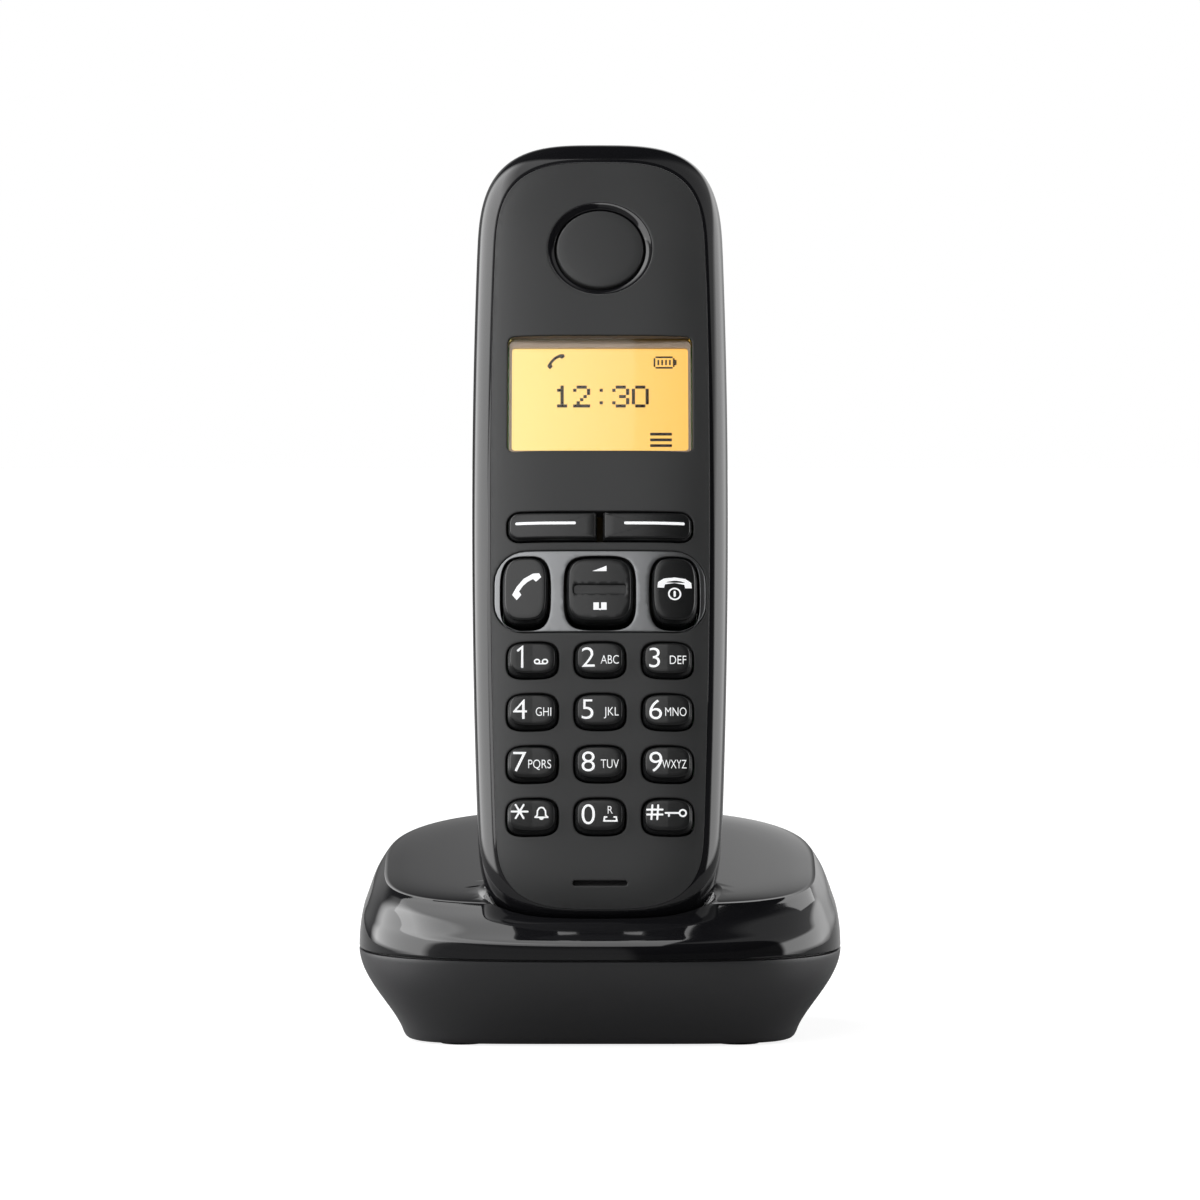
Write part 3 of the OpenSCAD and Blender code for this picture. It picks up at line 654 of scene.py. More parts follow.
rear_rim = [back_ring(rho) for rho in (0.93, 0.95, 0.965, 0.98, 0.99, 0.996, 0.999, 1.0)]
rear_rim.append(ring(INNER, lambda v, out_v: 0.0, BACK_CORE))
rear_rim += [back_ring(rho * INNER, SKIN) for rho in (0.985, 0.95, 0.9)]
rear_holes = [back_opening(lambda g: cover_shape(g + 0.2), COVER_V)]
SCREW_HOLES = ((15.5, 128), (-15.5, 128), (11, 11.5), (-11, 11.5))
for x, v in SCREW_HOLES:
    rear_holes.append(back_opening(lambda g: circle(2.1, g, 32), v, x, 0.2))
for i in range(-2, 3):
    rear_holes.append(back_opening(lambda g: circle(0.7, g, 20), 112, 3 * i, 0.15))
rear = panel(rear_rim, rear_holes, back_y, lambda x, v: back_y(x, v, SKIN), 1.1, 2.0)
build("rear_casing", rear, "handset", "handset_rear_shell", "gloss_black")


# Battery cover, with a thumb recess and three grip ribs near its foot.
THUMB_V, THUMB_W, THUMB_H, RIB_HALF = 40.0, 8.0, 4.6, 0.55


def cover_y(x, v):
    y = back_y(x, v)
    r = sqrt((x / THUMB_W) ** 2 + ((v - THUMB_V) / THUMB_H) ** 2)
    if r < 1:
        y -= 0.7 * (1 - r * r) ** 2 * (3 - 2 * (1 - r * r)) ** 0.5
        for k in (-1, 0, 1):
            gap = abs(v - THUMB_V - 2.0 * k)
            if gap < RIB_HALF and r < 0.85:
                y += 0.28 * (1 - (gap / RIB_HALF) ** 2) * (1 - (r / 0.85) ** 4)
    return y


cover_rim = [on_back(cover_shape, COVER_V, 0, -0.7, 0)]
cover_rim += [on_back(cover_shape, COVER_V, 0, -0.3 * left, 0.3 * turned)
              for left, turned in quarter(3)]
cover_rim.append(on_back(cover_shape, COVER_V, 0, 0, 0, SKIN))
cover = panel(cover_rim, [], cover_y, lambda x, v: back_y(x, v, SKIN), 0.45, 2.0)
build("battery_cover_skin", cover, "battery_cover", "battery_cover", "gloss_black")


# ------------------------------------------------------------------ face fittings
def edge_chain(v0, x0, shape, side, proud, low, fillet):
    """Loops from the face down to a depth: a plate's rim (side -1) or a hole in it (side 1)."""
    chain = [[on_face(v0, x0, x, z, skin_depth(v0, x0, x, z) + proud - fillet * turned)
              for x, z in shape(side * fillet * left)] for left, turned in quarter(4)]
    chain.append([on_face(v0, x0, x, z, low) for x, z in shape(0)])
    return chain


def fit_plate(v0, shape, proud, low, fillet, holes=(), step=0.9):
    """A plate in an opening of the face that follows the face's curve."""
    t = tilt(v0)
    return panel(edge_chain(v0, 0, shape, -1, proud, low, fillet), holes,
                 lambda x, v: face_y(x, v) - proud,
                 lambda x, v: on_face(v0, 0, 0, (v - v0) / cos(t) - low * sin(t), low)[1],
                 step, 3.0)


lens_plate = fit_plate(WINDOW_V, lambda g: rounded(35.2, 24, 1.2, g), -0.06, 7.0, 0.15)
build("display_lens", lens_plate, "handset", "display_window", "window_clear")


def well(w, n, grow):
    """A call key's well, which reaches down to the bezel's lower edge."""
    return [(x, z - 0.4) for x, z in squircle(w + 0.9, CALL_H + 1.7, n, grow)]


BEZEL_PROUD, BEZEL_LOW = 0.05, 5.0
bezel_holes = [edge_chain(BEZEL_V, x0, lambda g: well(w, n, g), 1, BEZEL_PROUD, BEZEL_LOW, 0.15)
               for x0, w, n in ((-CALL_X, CALL_W, KEY_N), (CALL_X, CALL_W, KEY_N), (0, NAV_W, 4))]
bezel = fit_plate(BEZEL_V, lambda g: rounded(40, 16.2, 6, g), BEZEL_PROUD, BEZEL_LOW, 0.12,
                  bezel_holes, 0.7)
build("call_key_bezel", bezel, "handset", "key_bezel", "bezel_chrome")


def turned_on_face(v0, stations):
    """Circles round a spot of the face, from (radius, depth)."""
    return placed([[on_face(v0, 0, x, z, depth) for x, z in circle(r)] for r, depth in stations])


# Earpiece: a matte disc, the groove round it and the sloped gloss ring.
DISC = ((8.5, 4.9), (8.5, 7.5), (8.42, 7.7), (8.38, 8.2), (8.3, 8.36), (8.18, 8.46), (8.0, 8.52),
        (6.5, 8.66), (4.5, 8.78), (2.2, 8.85))
SEAT = ((10.9, 4.3), (10.9, 5.2), (10.08, 5.3), (10.08, 8.5), (10.04, 8.62), (9.94, 8.64),
        (9.4, 8.38), (8.96, 8.17), (8.82, 8.08), (8.74, 7.9), (8.7, 7.5), (8.7, 4.3))
build("earpiece_disc", loft(turned_on_face(EAR_V, DISC)), "handset", "earpiece_cap",
      "face_charcoal")
build("earpiece_ring", loft(turned_on_face(EAR_V, SEAT), closed=True), "handset",
      "earpiece_cap", "gloss_black")

# Gauze at the bottom of the microphone's slot.
rings = [[on_face(MIC_V, 0, x, z, depth) for x, z in rounded(10.9, 1.6, 0.7, grow)]
         for grow, depth in ((0, 6.6), (0, 7.2), (-0.1, 7.3), (-0.4, 7.32))]
build("microphone_gauze", loft(placed(rings)), "handset", None, None, gauze)


# ------------------------------------------------------------------ legends
class Legend:
    """Marks on a key or the display: thin closed forms in its own (x, z)."""

    HALF = 0.05                          # half a form's thickness

    def __init__(self):
        self.verts, self.faces = [], []

    def solid(self, outline):
        """A flat-topped form over a convex or simple outline."""
        n = len(outline)
        first = len(self.verts)
        self.verts += [(x, z, h) for h in (-self.HALF, self.HALF) for x, z in outline]
        self.faces += bridge(first, first + n, n)
        self.faces += [tuple(range(first, first + n)), tuple(range(first + n, first + 2 * n))]

    def band(self, points, width, closed=False):
        """A stroke of even width along a line of points, with round ends."""
        pts = [Vector(p) for p in points]
        n = len(pts)
        left, right = [], []
        for i, p in enumerate(pts):
            before = pts[i - 1] if closed or i else None
            after = pts[(i + 1) % n] if closed or i < n - 1 else None
            d1 = (p - before).normalized() if before is not None else None
            d2 = (after - p).normalized() if after is not None else None
            d1, d2 = d1 or d2, d2 or d1
            normal = Vector((-(d1 + d2).y, (d1 + d2).x)).normalized()
            reach = width / 2 / max(0.5, normal.dot(Vector((-d1.y, d1.x))))
            left.append(p + normal * reach)
            right.append(p - normal * reach)
        first = len(self.verts)
        for h in (-self.HALF, self.HALF):
            self.verts += [(q.x, q.y, h) for q in left] + [(q.x, q.y, h) for q in right]
        a, b, c, d = first, first + n, first + 2 * n, first + 3 * n
        for i in range(n if closed else n - 1):
            j = (i + 1) % n
            self.faces += [(a + i, a + j, b + j, b + i), (c + i, c + j, d + j, d + i),
                           (a + i, a + j, c + j, c + i), (b + i, b + j, d + j, d + i)]
        if not closed:
            for i in (0, n - 1):
                self.faces.append((a + i, b + i, d + i, c + i))
            for p in (pts[0], pts[-1]):
                self.solid([(p.x + width / 2 * 0.98 * cos(t * pi / 6),
                             p.y + width / 2 * 0.98 * sin(t * pi / 6)) for t in range(12)])

    def arc(self, cx, cz, rx, rz, start, stop, width, steps=20, closed=False):
        stop_at = steps if closed else steps + 1
        self.band([(cx + rx * cos(radians(mix(start, stop, i / steps))),
                    cz + rz * sin(radians(mix(start, stop, i / steps))))
                   for i in range(stop_at)], width, closed)

    def text(self, body, x, z, height, thin=0.0, squeeze=1.0):
        """Characters in Blender's own font, from a lower left corner."""
        curve = bpy.data.curves.new("letters", "FONT")
        curve.body = body
        curve.size = height / 0.729
        curve.offset = -thin
        curve.resolution_u = 6
        curve.extrude = 0.04
        obj = bpy.data.objects.new("letters", curve)
        scene.collection.objects.link(obj)
        bpy.context.view_layer.update()
        mesh = bpy.data.meshes.new_from_object(
            obj.evaluated_get(bpy.context.evaluated_depsgraph_get()))
        first = len(self.verts)
        low = min(v.co.x for v in mesh.vertices)
        self.verts += [(x + (v.co.x - low) * squeeze, z + v.co.y, v.co.z + 0.01)
                       for v in mesh.vertices]
        self.faces += [tuple(first + i for i in p.vertices) for p in mesh.polygons]
        bpy.data.objects.remove(obj)
        bpy.data.curves.remove(curve)
        bpy.data.meshes.remove(mesh)

    def put(self, name, body, v0, x0, top, paint=glowing_ink):
        """Lays the marks on the surface at depth top(x, z)."""
        points = [place(*on_face(v0, x0, x, z, top(x, z) + h)) for x, z, h in self.verts]
        build(name, (points, self.faces), body, None, None, paint, 30)


# ------------------------------------------------------------------ keys
# Each number key's letters and how wide they are.
KEYS = {
    "1": ("", 0), "2": ("ABC", 3.4), "3": ("DEF", 3.1), "4": ("GHI", 2.9), "5": ("JKL", 2.8),
    "6": ("MNO", 4.0), "7": ("PQRS", 4.3), "8": ("TUV", 3.4), "9": ("WXYZ", 4.6),
    "star": ("", 0), "0": ("", 0), "hash": ("", 0),
}
KEY_LIFT = 0.12
LETTERS_RIGHT = 3.55
for number, (label, (letters, wide)) in enumerate(KEYS.items()):
    row, column = divmod(number, 3)
    column -= 1
    v0, x0 = ROW_V - row * PITCH_Z, column * PITCH_X
    crest = FACE_DEPTH * round_to(abs(column) * 0.52, FACE_N) + KEY_RISE
    lean = -0.028 * column

    def top(x, z, crest=crest, lean=lean):
        side = lean * abs(x) * (1 if x * lean < 0 else 0.2)
        return crest - 0.10 - 0.0022 * x * x - 0.003 * z * z + side

    name = "key_" + label
    cap = key_form(v0, x0, lambda g: squircle(KEY_W, KEY_H, KEY_N, g), top, lift=KEY_LIFT)
    build(name + "_cap", cap, name, name, "key_charcoal")
    mark = Legend()
    if label.isdigit():
        left = {"4": -3.65, "7": -3.6}.get(label, -3.45)
        if label == "1":
            mark.band([(-2.75, 1.55), (-1.95, 2.25), (-1.95, -1.7)], 0.44)
        else:
            mark.text(label, left, -1.75, 4.15, 0.05, 1.04)
    if letters:
        count = len(mark.verts)
        mark.text(letters, 0, -1.1, 1.8, 0.02)
        span = max(v[0] for v in mark.verts[count:])
        mark.verts[count:] = [(LETTERS_RIGHT - wide + x * wide / span, z, h)
                              for x, z, h in mark.verts[count:]]
    if label == "1":
        for c in (0.85, 2.35):
            mark.arc(c, -0.62, 0.48, 0.42, 0, 360, 0.26, 16, True)
        mark.band([(0.85, -1.05), (2.35, -1.05)], 0.24)
    if label == "star":
        for a in (0, 60, 120):
            c, s = 1.5 * cos(radians(a)), 1.5 * sin(radians(a))
            mark.band([(-2.35 - c, 0.75 - s), (-2.35 + c, 0.75 + s)], 0.36)
        bell = [(0.55, -0.35), (0.95, 0.05), (1.0, 0.9), (1.35, 1.45), (1.75, 1.55),
                (2.15, 1.45), (2.5, 0.9), (2.55, 0.05), (2.95, -0.35)]
        mark.band(bell, 0.28)
        mark.band([bell[0], bell[-1]], 0.28)
        mark.solid([(1.75 + 0.42 * cos(radians(a)), -0.5 + 0.35 * sin(radians(a)))
                    for a in range(180, 361, 20)])
    if label == "0":
        mark.text("R", 1.45, 0.3, 1.6, 0.02, 0.85)
        mark.band([(0.85, -0.35), (0.75, -1.1), (3.15, -1.1), (3.05, -0.35)], 0.3)
        mark.band([(0.85, -0.35), (1.25, -0.35)], 0.3)
        mark.band([(3.05, -0.35), (2.65, -0.35)], 0.3)
    if label == "hash":
        for c in (-3.0, -1.9):
            mark.band([(c - 0.1, -0.7), (c + 0.1, 2.0)], 0.36)
        for c in (0.2, 1.15):
            mark.band([(-3.9, c), (-1.0, c)], 0.36)
        mark.arc(2.8, 0.5, 0.62, 0.62, 0, 360, 0.32, 20, True)
        mark.band([(2.15, 0.5), (-0.45, 0.5)], 0.34)
        mark.band([(0.2, 0.4), (0.2, -0.1)], 0.34)
    mark.put("legend_" + label, name, v0, x0, lambda x, z: top(x, z - KEY_LIFT))

ROUND_END, SQUARE_END = [2.1, 2.1], [0.35, 0.35]
for side, name in ((-1, "soft_key_left"), (1, "soft_key_right")):
    x0 = side * SOFT_X

    def top(x, z, x0=x0):
        return skin_depth(SOFT_V, x0, x, 0) + 0.72 - 0.006 * z * z

    radii = ROUND_END + SQUARE_END if side > 0 else SQUARE_END + ROUND_END
    cap = key_form(SOFT_V, x0, lambda g: rounded(SOFT_W, SOFT_H, radii, g), top,
                   0.3, 0.3, 0.85, 0.05)
    build(name + "_cap", cap, name, name, "key_charcoal")
    mark = Legend()
    start = -6.85 if side < 0 else -4.15
    mark.band([(start + 11 * i / 24, 0.45) for i in range(25)], 0.56)
    mark.put("legend_" + name, name, SOFT_V, x0, lambda x, z: top(x, z) + 0.03)

# A lifted handset, as on the talk key and the display.
HANDSET_SIGN = ((-2.5, -1.0), (-1.64, 0.57), (-0.32, 2.15), (1.44, 3.15), (2.6, 3.2), (3.0, 2.4),
                (2.0, 1.52), (1.44, 2.08), (0.41, 1.52), (-0.47, 0.72), (-1.2, -0.38),
                (-0.76, -1.08), (-1.64, -2.1))
for side, name in ((-1, "talk_key"), (1, "end_key")):
    x0 = side * CALL_X

    def top(x, z, x0=x0):
        return skin_depth(BEZEL_V, x0, x * 0.85, z) + 1.25

    cap = key_form(BEZEL_V, x0, lambda g: squircle(CALL_W, CALL_H, KEY_N, g), top,
                   0.4, 0.4, 1.3, 0.15)
    build(name + "_cap", cap, name, name, "key_charcoal")
    mark = Legend()
    if side < 0:
        mark.solid(HANDSET_SIGN)
    else:
        mark.solid([(-3.25, 0.35), (-3.15, 1.4), (-2.05, 2.15), (0, 2.4), (2.05, 2.15),
                    (3.15, 1.4), (3.25, 0.35), (2.0, 0.3), (1.85, 1.0), (0, 1.3),
                    (-1.85, 1.0), (-2.0, 0.3)])
        mark.arc(0, -0.9, 1.1, 1.1, 0, 360, 0.3, 28, True)
        mark.band([(0, -1.3), (0, -0.5)], 0.42)
    mark.put("legend_" + name, name, BEZEL_V, x0, top)

SLOT_W, SLOT_H, SLOT_R, SLOT_DEPTH = 9.8, 1.9, 0.5, 0.4


def nav_depth(x, z):
    return FACE_DEPTH + KEY_RISE + 0.05 - 0.0022 * x * x - 0.0028 * z * z


def nav_loop(points, drop):
    """A loop that far under the navigation key's top, or at the key's foot."""
    return [on_face(BEZEL_V, 0, x, z, KEY_LOW if drop is None else nav_depth(x, z) - drop)
            for x, z in points]


def nav_y(v, x, depth_at):
    z = (v - BEZEL_V) / cos(tilt(BEZEL_V)) - 10 * sin(tilt(BEZEL_V))
    return on_face(BEZEL_V, 0, x, z, depth_at(x, z))[1]


nav_rim = [nav_loop(squircle(NAV_W, NAV_H, 4, grow), drop) for grow, drop in
           ((-0.8, 0.0), (-0.64, 0.04), (-0.52, 0.14), (-0.44, 0.28), (-0.4, 0.42), (-0.2, 0.8),
            (-0.04, 1.2), (0, 1.6), (0, None))]
slot_rim = [nav_loop(rounded(SLOT_W, SLOT_H, SLOT_R, grow), drop) for grow, drop in
            ((0.1, 0.0), (0.03, 0.03), (0.0, 0.1), (-0.02, SLOT_DEPTH), (-0.02, None))]
nav_verts, nav_faces = panel(nav_rim, [slot_rim], lambda x, v: nav_y(v, x, nav_depth),
                             lambda x, v: nav_y(v, x, lambda a, b: KEY_LOW), 0.7, 2.0)
# A plug inside the slot, whose upper end is the slot's floor.
plug = rounded(SLOT_W, SLOT_H, SLOT_R, -0.02)
plug_verts, plug_faces = loft(placed([
    [on_face(BEZEL_V, 0, x, z, KEY_LOW + 0.1) for x, z in plug], nav_loop(plug, SLOT_DEPTH)]))
nav_faces += [tuple(len(nav_verts) + i for i in f) for f in plug_faces]
build("nav_key_cap", (nav_verts + plug_verts, nav_faces), "nav_key", "nav_key",
      "key_charcoal")
mark = Legend()
mark.solid([(-1.45, 3.55), (1.25, 3.55), (1.25, 4.65), (-0.1, 4.05)])
mark.solid([(-1.25, -2.75), (-1.25, -4.2), (-0.22, -4.2), (-0.22, -2.75)])
mark.solid([(0.22, -2.75), (0.22, -4.2), (1.25, -4.2), (1.25, -2.75)])
mark.solid([(-0.3, -4.0), (0, -4.35), (0.3, -4.0), (0, -3.9)])
mark.put("legend_nav_key", "nav_key", BEZEL_V, 0, nav_depth)

# ------------------------------------------------------------------ display
GLYPHS = {
    "1": ["..#..", ".##..", "..#..", "..#..", "..#..", "..#..", ".###."],
    "2": [".###.", "#...#", "....#", "...#.", "..#..", ".#...", "#####"],
    "3": [".###.", "#...#", "....#", "..##.", "....#", "#...#", ".###."],
    "0": [".###.", "#...#", "#...#", "#...#", "#...#", "#...#", ".###."],
    ":": [".....", "..#..", ".....", ".....", ".....", "..#..", "....."],
}
BATTERY_ICON = [".#########..", "#.........#.", "#.#.#.#.#.##", "#.#.#.#.#.##", "#.#.#.#.#.##",
                "#.........#.", ".#########.."]
MENU_ICON = ["#######", ".......", "#######", ".......", "#######"]


def show(picture, x, z, size):
    """Draws a pixel picture with its upper left corner at (x, z)."""
    for r, line in enumerate(picture):
        c = 0
        while c < len(line):
            if line[c] != "#":
                c += 1
                continue
            stop = c
            while stop < len(line) and line[stop] == "#":
                stop += 1
            x0, x1 = x + c * size, x + stop * size - GAP
            z0, z1 = z - (r + 1) * size + GAP, z - r * size
            mark.solid([(x0, z0), (x1, z0), (x1, z1), (x0, z1)])
            c = stop


DISPLAY_TOP, GAP = 6.3, 0.03
mark = Legend()
show(BATTERY_ICON, 10.3, 8.75, 0.37)
for i, sign in enumerate("12:30"):
    show(GLYPHS[sign], -8.9 + i * 3.75, 2.6, 0.66)
show(MENU_ICON, 9.6, -7.3, 0.6)
mark.solid([(x * 0.62 - 8.6, z * 0.6 + 7.3) for x, z in HANDSET_SIGN])
mark.put("display_pixels", "handset", WINDOW_V, 0, lambda x, z: DISPLAY_TOP, pixel_ink)

# ------------------------------------------------------------------ base
SEAM_Z, TOP_Z, SLOPE, BASE_T = 16.7, 32.3, 0.214, 2.0
BASE_W, BASE_D, BOTTOM_W, BOTTOM_D = 92, 80, 74.4, 64.6
TOP_W, TOP_FRONT, TOP_BACK = 82, 27, 36
POINTS = 208
POCKET, LINER = 0.6, 2.2
SCREWS = ((32, -17), (32, 20))
FEET = ((26, -25), (26, 25))
PAGE_X, PAGE_Z = 23, 10


def base_ring(a, b, n, z, slope=0.0):
    """A superellipse of half width a; b and n are its depth and power in front and behind."""
    loop = []
    for k in range(POINTS):
        t = 2 * pi * k / POINTS
        i = 0 if cos(t) > 0 else 1
        r = ((abs(sin(t)) / a) ** n[i] + (abs(cos(t)) / b[i]) ** n[i]) ** (-1 / n[i])
        loop.append((r * sin(t), -r * cos(t), z - slope * r * cos(t)))
    return loop


def lower_ring(z, inset=0.0, at=None):
    s = sin(pi / 2 * min(z / SEAM_Z, 1)) ** 1.7
    depth = mix(BOTTOM_D, BASE_D, s) / 2 - inset
    return base_ring(mix(BOTTOM_W, BASE_W, s) / 2 - inset, (depth, depth),
                     (mix(5.2, 3, s), mix(5.2, 2.7, s)), z if at is None else at)


def upper_ring(f, g, inset=0.0, drop=0.0):
    return base_ring(mix(BASE_W, TOP_W, f) / 2 - inset,
                     (mix(BASE_D / 2, TOP_FRONT, f) - inset, mix(BASE_D / 2, TOP_BACK, f) - inset),
                     (mix(3, 4, f), mix(2.7, 2.6, f)), mix(SEAM_Z, TOP_Z, g) - drop, g * SLOPE)


SHOULDER = [(0, 0), (0.03, 0.22), (0.12, 0.42), (0.28, 0.57), (0.55, 0.79), (0.82, 0.93), (1, 1)]


def shoulder(steps=6):
    """A smooth line through the shoulder's stations."""
    pts = [Vector(p) for p in SHOULDER]
    pts = [pts[0] * 2 - pts[1]] + pts + [pts[-1] * 2 - pts[-2]]
    line = []
    for i in range(1, len(pts) - 2):
        for k in range(steps):
            t = k / steps
            p0, p1, p2, p3 = pts[i - 1:i + 3]
            line.append(0.5 * (2 * p1 + (p2 - p0) * t + (2 * p0 - 5 * p1 + 4 * p2 - p3) * t * t
                               + (3 * p1 - p0 - 3 * p2 + p3) * t ** 3))
    return line + [pts[-2]]


def to_base(loops):
    return [[in_base(*p) for p in loop] for loop in loops]


def combine(obj, other, how):
    """Applies one exact boolean and removes the other object."""
    mod = obj.modifiers.new("cut", "BOOLEAN")
    mod.operation = how
    mod.solver = "EXACT"
    mod.object = other
    bpy.context.view_layer.update()
    mesh = bpy.data.meshes.new_from_object(
        obj.evaluated_get(bpy.context.evaluated_depsgraph_get()))
    obj.modifiers.remove(mod)
    old = obj.data
    obj.data = mesh
    bpy.data.meshes.remove(old)
    bpy.data.objects.remove(other)


def round_loop(x, y, z, r, upright=True, count=48):
    """A circle round an upright axis, or round one along y, in metres."""
    spots = [(r * sin(2 * pi * k / count), r * cos(2 * pi * k / count)) for k in range(count)]
    return [in_base(x + a, y + b, z) if upright else in_base(x + a, y, z + b) for a, b in spots]


def cylinder(name, x, y, r, z0, z1):
    return plain_object(name, *loft([round_loop(x, y, z, r) for z in (z0, z1)], flat=True))


def block(name, low, high):
    loops = [[in_base(x, y, z) for x, y in ((low[0], low[1]), (high[0], low[1]),
                                            (high[0], high[1]), (low[0], high[1]))]
             for z in (low[2], high[2])]
    return plain_object(name, *loft(loops, flat=True))


def handset_body(name, grow):
    """The whole handset as one closed body, grown on all sides."""
    loops = [back_ring(rho, 0, grow) for rho in
             (0.02, 0.1, 0.2, 0.3, 0.4, 0.5, 0.6, 0.69, 0.77, 0.84, 0.9, 0.94, 0.97, 0.99)]
    loops.append(front_ring(1, 0, grow))
    for rho in (0.997, 0.985, 0.965, 0.93, 0.89, 0.84, 0.77, 0.68, 0.56, 0.42, 0.28, 0.14, 0.02):
        loops.append(front_ring(rho, (FACE_DEPTH + grow) * round_to(rho, FACE_N), grow))
    n = len(loops[0])
    verts = [place(*p) for loop in loops for p in loop]
    faces = []
    for i in range(len(loops) - 1):
        faces += bridge(i * n, (i + 1) * n, n)
    for first in (0, (len(loops) - 1) * n):
        faces.append((first, first + 1, first + n - 1))
        for k in range(1, n // 2 - 1):
            faces.append((first + k, first + k + 1, first + n - k - 1, first + n - k))
        faces.append((first + n // 2 - 1, first + n // 2, first + n // 2 + 1))
    return plain_object(name, verts, faces)


def mouth(drop, count=120):
    """The pocket's outline at that depth under the base's top face, as [(x, y, z)]."""
    whole = handset_body("whole", POCKET)
    bm = bmesh.new()
    bm.from_mesh(whole.data)
    cut = bmesh.ops.bisect_plane(bm, geom=bm.verts[:] + bm.edges[:] + bm.faces[:], dist=1e-7,
                                 plane_co=in_base(0, 0, TOP_Z - drop),
                                 plane_no=Vector((0, -SLOPE, 1)).normalized())
    points = [v.co * 1000 for v in cut["geom_cut"] if isinstance(v, bmesh.types.BMVert)]
    bm.free()
    bpy.data.objects.remove(whole)
    middle_y = (min(p.y for p in points) + max(p.y for p in points)) / 2 - BASE_Y
    flat = [(p.x, p.y - BASE_Y - middle_y) for p in points]
    polar = sorted((atan2(y, x), sqrt(x ** 2 + y ** 2)) for x, y in flat)
    angles = [-pi + 2 * pi * (k + 0.5) / count for k in range(count)]
    reach = np.interp(angles, [t for t, r in polar], [r for t, r in polar], period=2 * pi)
    for _ in range(6):
        reach = reach * 0.5 + (np.roll(reach, 1) + np.roll(reach, -1)) * 0.25
    loop = []
    for t, r in zip(angles, reach.tolist()):
        x, y = r * cos(t), middle_y + r * sin(t)
        loop.append((x, y, TOP_Z - drop + SLOPE * y))
    return loop


def mouth_loops(radius=1.5, steps=8):
    """A funnel that rounds the pocket's edge off, from inside the pocket upwards."""
    loops = []
    for left, turned in quarter(steps):
        grow = radius * turned - 0.12
        ring_here = mouth(radius * left)
        n = len(ring_here)
        out = []
        for k, (x, y, z) in enumerate(ring_here):
            ahead, behind = ring_here[(k + 1) % n], ring_here[k - 1]
            side = Vector((ahead[1] - behind[1], behind[0] - ahead[0])).normalized()
            out.append((x + side.x * grow, y + side.y * grow, z + side.y * grow * SLOPE))
        loops.append(out)
    loops.append([(x, y, z + 3) for x, y, z in loops[-1]])
    return loops


def finish_shell(obj, name, node, slot):
    obj.name = obj.data.name = name
    dress(obj, "base", node, slot, None, 35)


# Lower shell, with a soft edge at the bottom and a step at the seam.
low_z = SEAM_Z - 0.15
rings = [lower_ring(0.35, 1.1), lower_ring(0.37, 0.8), lower_ring(0.5, 0.42),
         lower_ring(0.8, 0.15), lower_ring(1.4)]
rings += [lower_ring(1.4 + (low_z - 0.25 - 1.4) * i / 22) for i in range(1, 23)]
rings += [lower_ring(low_z - 0.1, 0.04), lower_ring(low_z, 0.2), lower_ring(low_z, 1.1),
          lower_ring(17.4, 1.1), lower_ring(17.4, BASE_T)]
rings += [lower_ring(z, BASE_T) for z in (15, 13, 11, 9, 7, 5, 3.6, 2.35)]
lower = plain_object("lower", *loft(to_base(rings)))
for side in (-1, 1):
    for x, y in SCREWS:
        combine(lower, cylinder("boss", side * x, y, 3.5, 1.35, 9.35), "UNION")
        combine(lower, cylinder("bore", side * x, y, 2.6, -1, 5), "DIFFERENCE")
        combine(lower, cylinder("bore", side * x, y, 1.4, 4, 12), "DIFFERENCE")
    for x, y in FEET:
        combine(lower, cylinder("foot", side * x, y, 4, -1, 1.4), "DIFFERENCE")
for x, w in ((-9, 11.6), (8, 9.6)):
    combine(lower, block("mouth", (x - w / 2, 24, 5.6), (x + w / 2, 44, 14.8)), "DIFFERENCE")
hole = [round_loop(PAGE_X, y, PAGE_Z, 3.75, False) for y in (24, 44)]
combine(lower, plain_object("hole", *loft(hole, flat=True)), "DIFFERENCE")
finish_shell(lower, "base_lower_skin", "base_lower_shell", "base_grey")

# Upper shell: gloss outside, the handset's pocket, and its liner. The top face is slightly
# domed, by these insets and drops from its edge to its middle.
DOME = ((0, 0.22), (0.7, 0.165), (1.5, 0.12), (3, 0.06), (5, 0.018), (8, 0), (12, 0), (18, 0),
        (24, 0))
line = shoulder()
high_z = SEAM_Z + 0.15
outer = [lower_ring(high_z, 0.2), lower_ring(high_z + 0.12, 0.04)]
outer += [upper_ring(p.x, p.y) for p in line[1:-1] if p.y > 0.03]
outer += [upper_ring(1, 1, inset, drop) for inset, drop in DOME]
inner_loops = [upper_ring(f, g, BASE_T, BASE_T * g) for f, g in reversed(SHOULDER[1:])]
inner_loops += [lower_ring(17.9, BASE_T, 17.9), lower_ring(17.9, 0.9, 17.9),
                lower_ring(high_z, 0.9)]
upper = plain_object("upper", *loft(to_base(inner_loops + outer)))
cover_loops = [lower_ring(high_z - 4, 3), lower_ring(high_z, 3)]
cover_loops += [upper_ring(p.x, p.y, 0.3, 0.3) for p in line[2:]]
envelope = plain_object("envelope", *loft(to_base(cover_loops)))
combine(envelope, handset_body("liner", LINER), "INTERSECT")
lip = to_base(mouth_loops())
for part in (upper, envelope):
    combine(part, plain_object("lip", *loft(lip, flat=True)), "DIFFERENCE")
combine(upper, envelope, "UNION")
combine(upper, handset_body("pocket", POCKET), "DIFFERENCE")
for side in (-1, 1):
    for x, y in SCREWS:
        combine(upper, cylinder("post", side * x, y, 3.2, 9.55, TOP_Z + SLOPE * y - 1.2),
                "UNION")
        combine(upper, cylinder("bore", side * x, y, 1.15, 8.35, 17.35), "DIFFERENCE")
finish_shell(upper, "base_upper_skin", "base_upper_shell", "base_gloss")

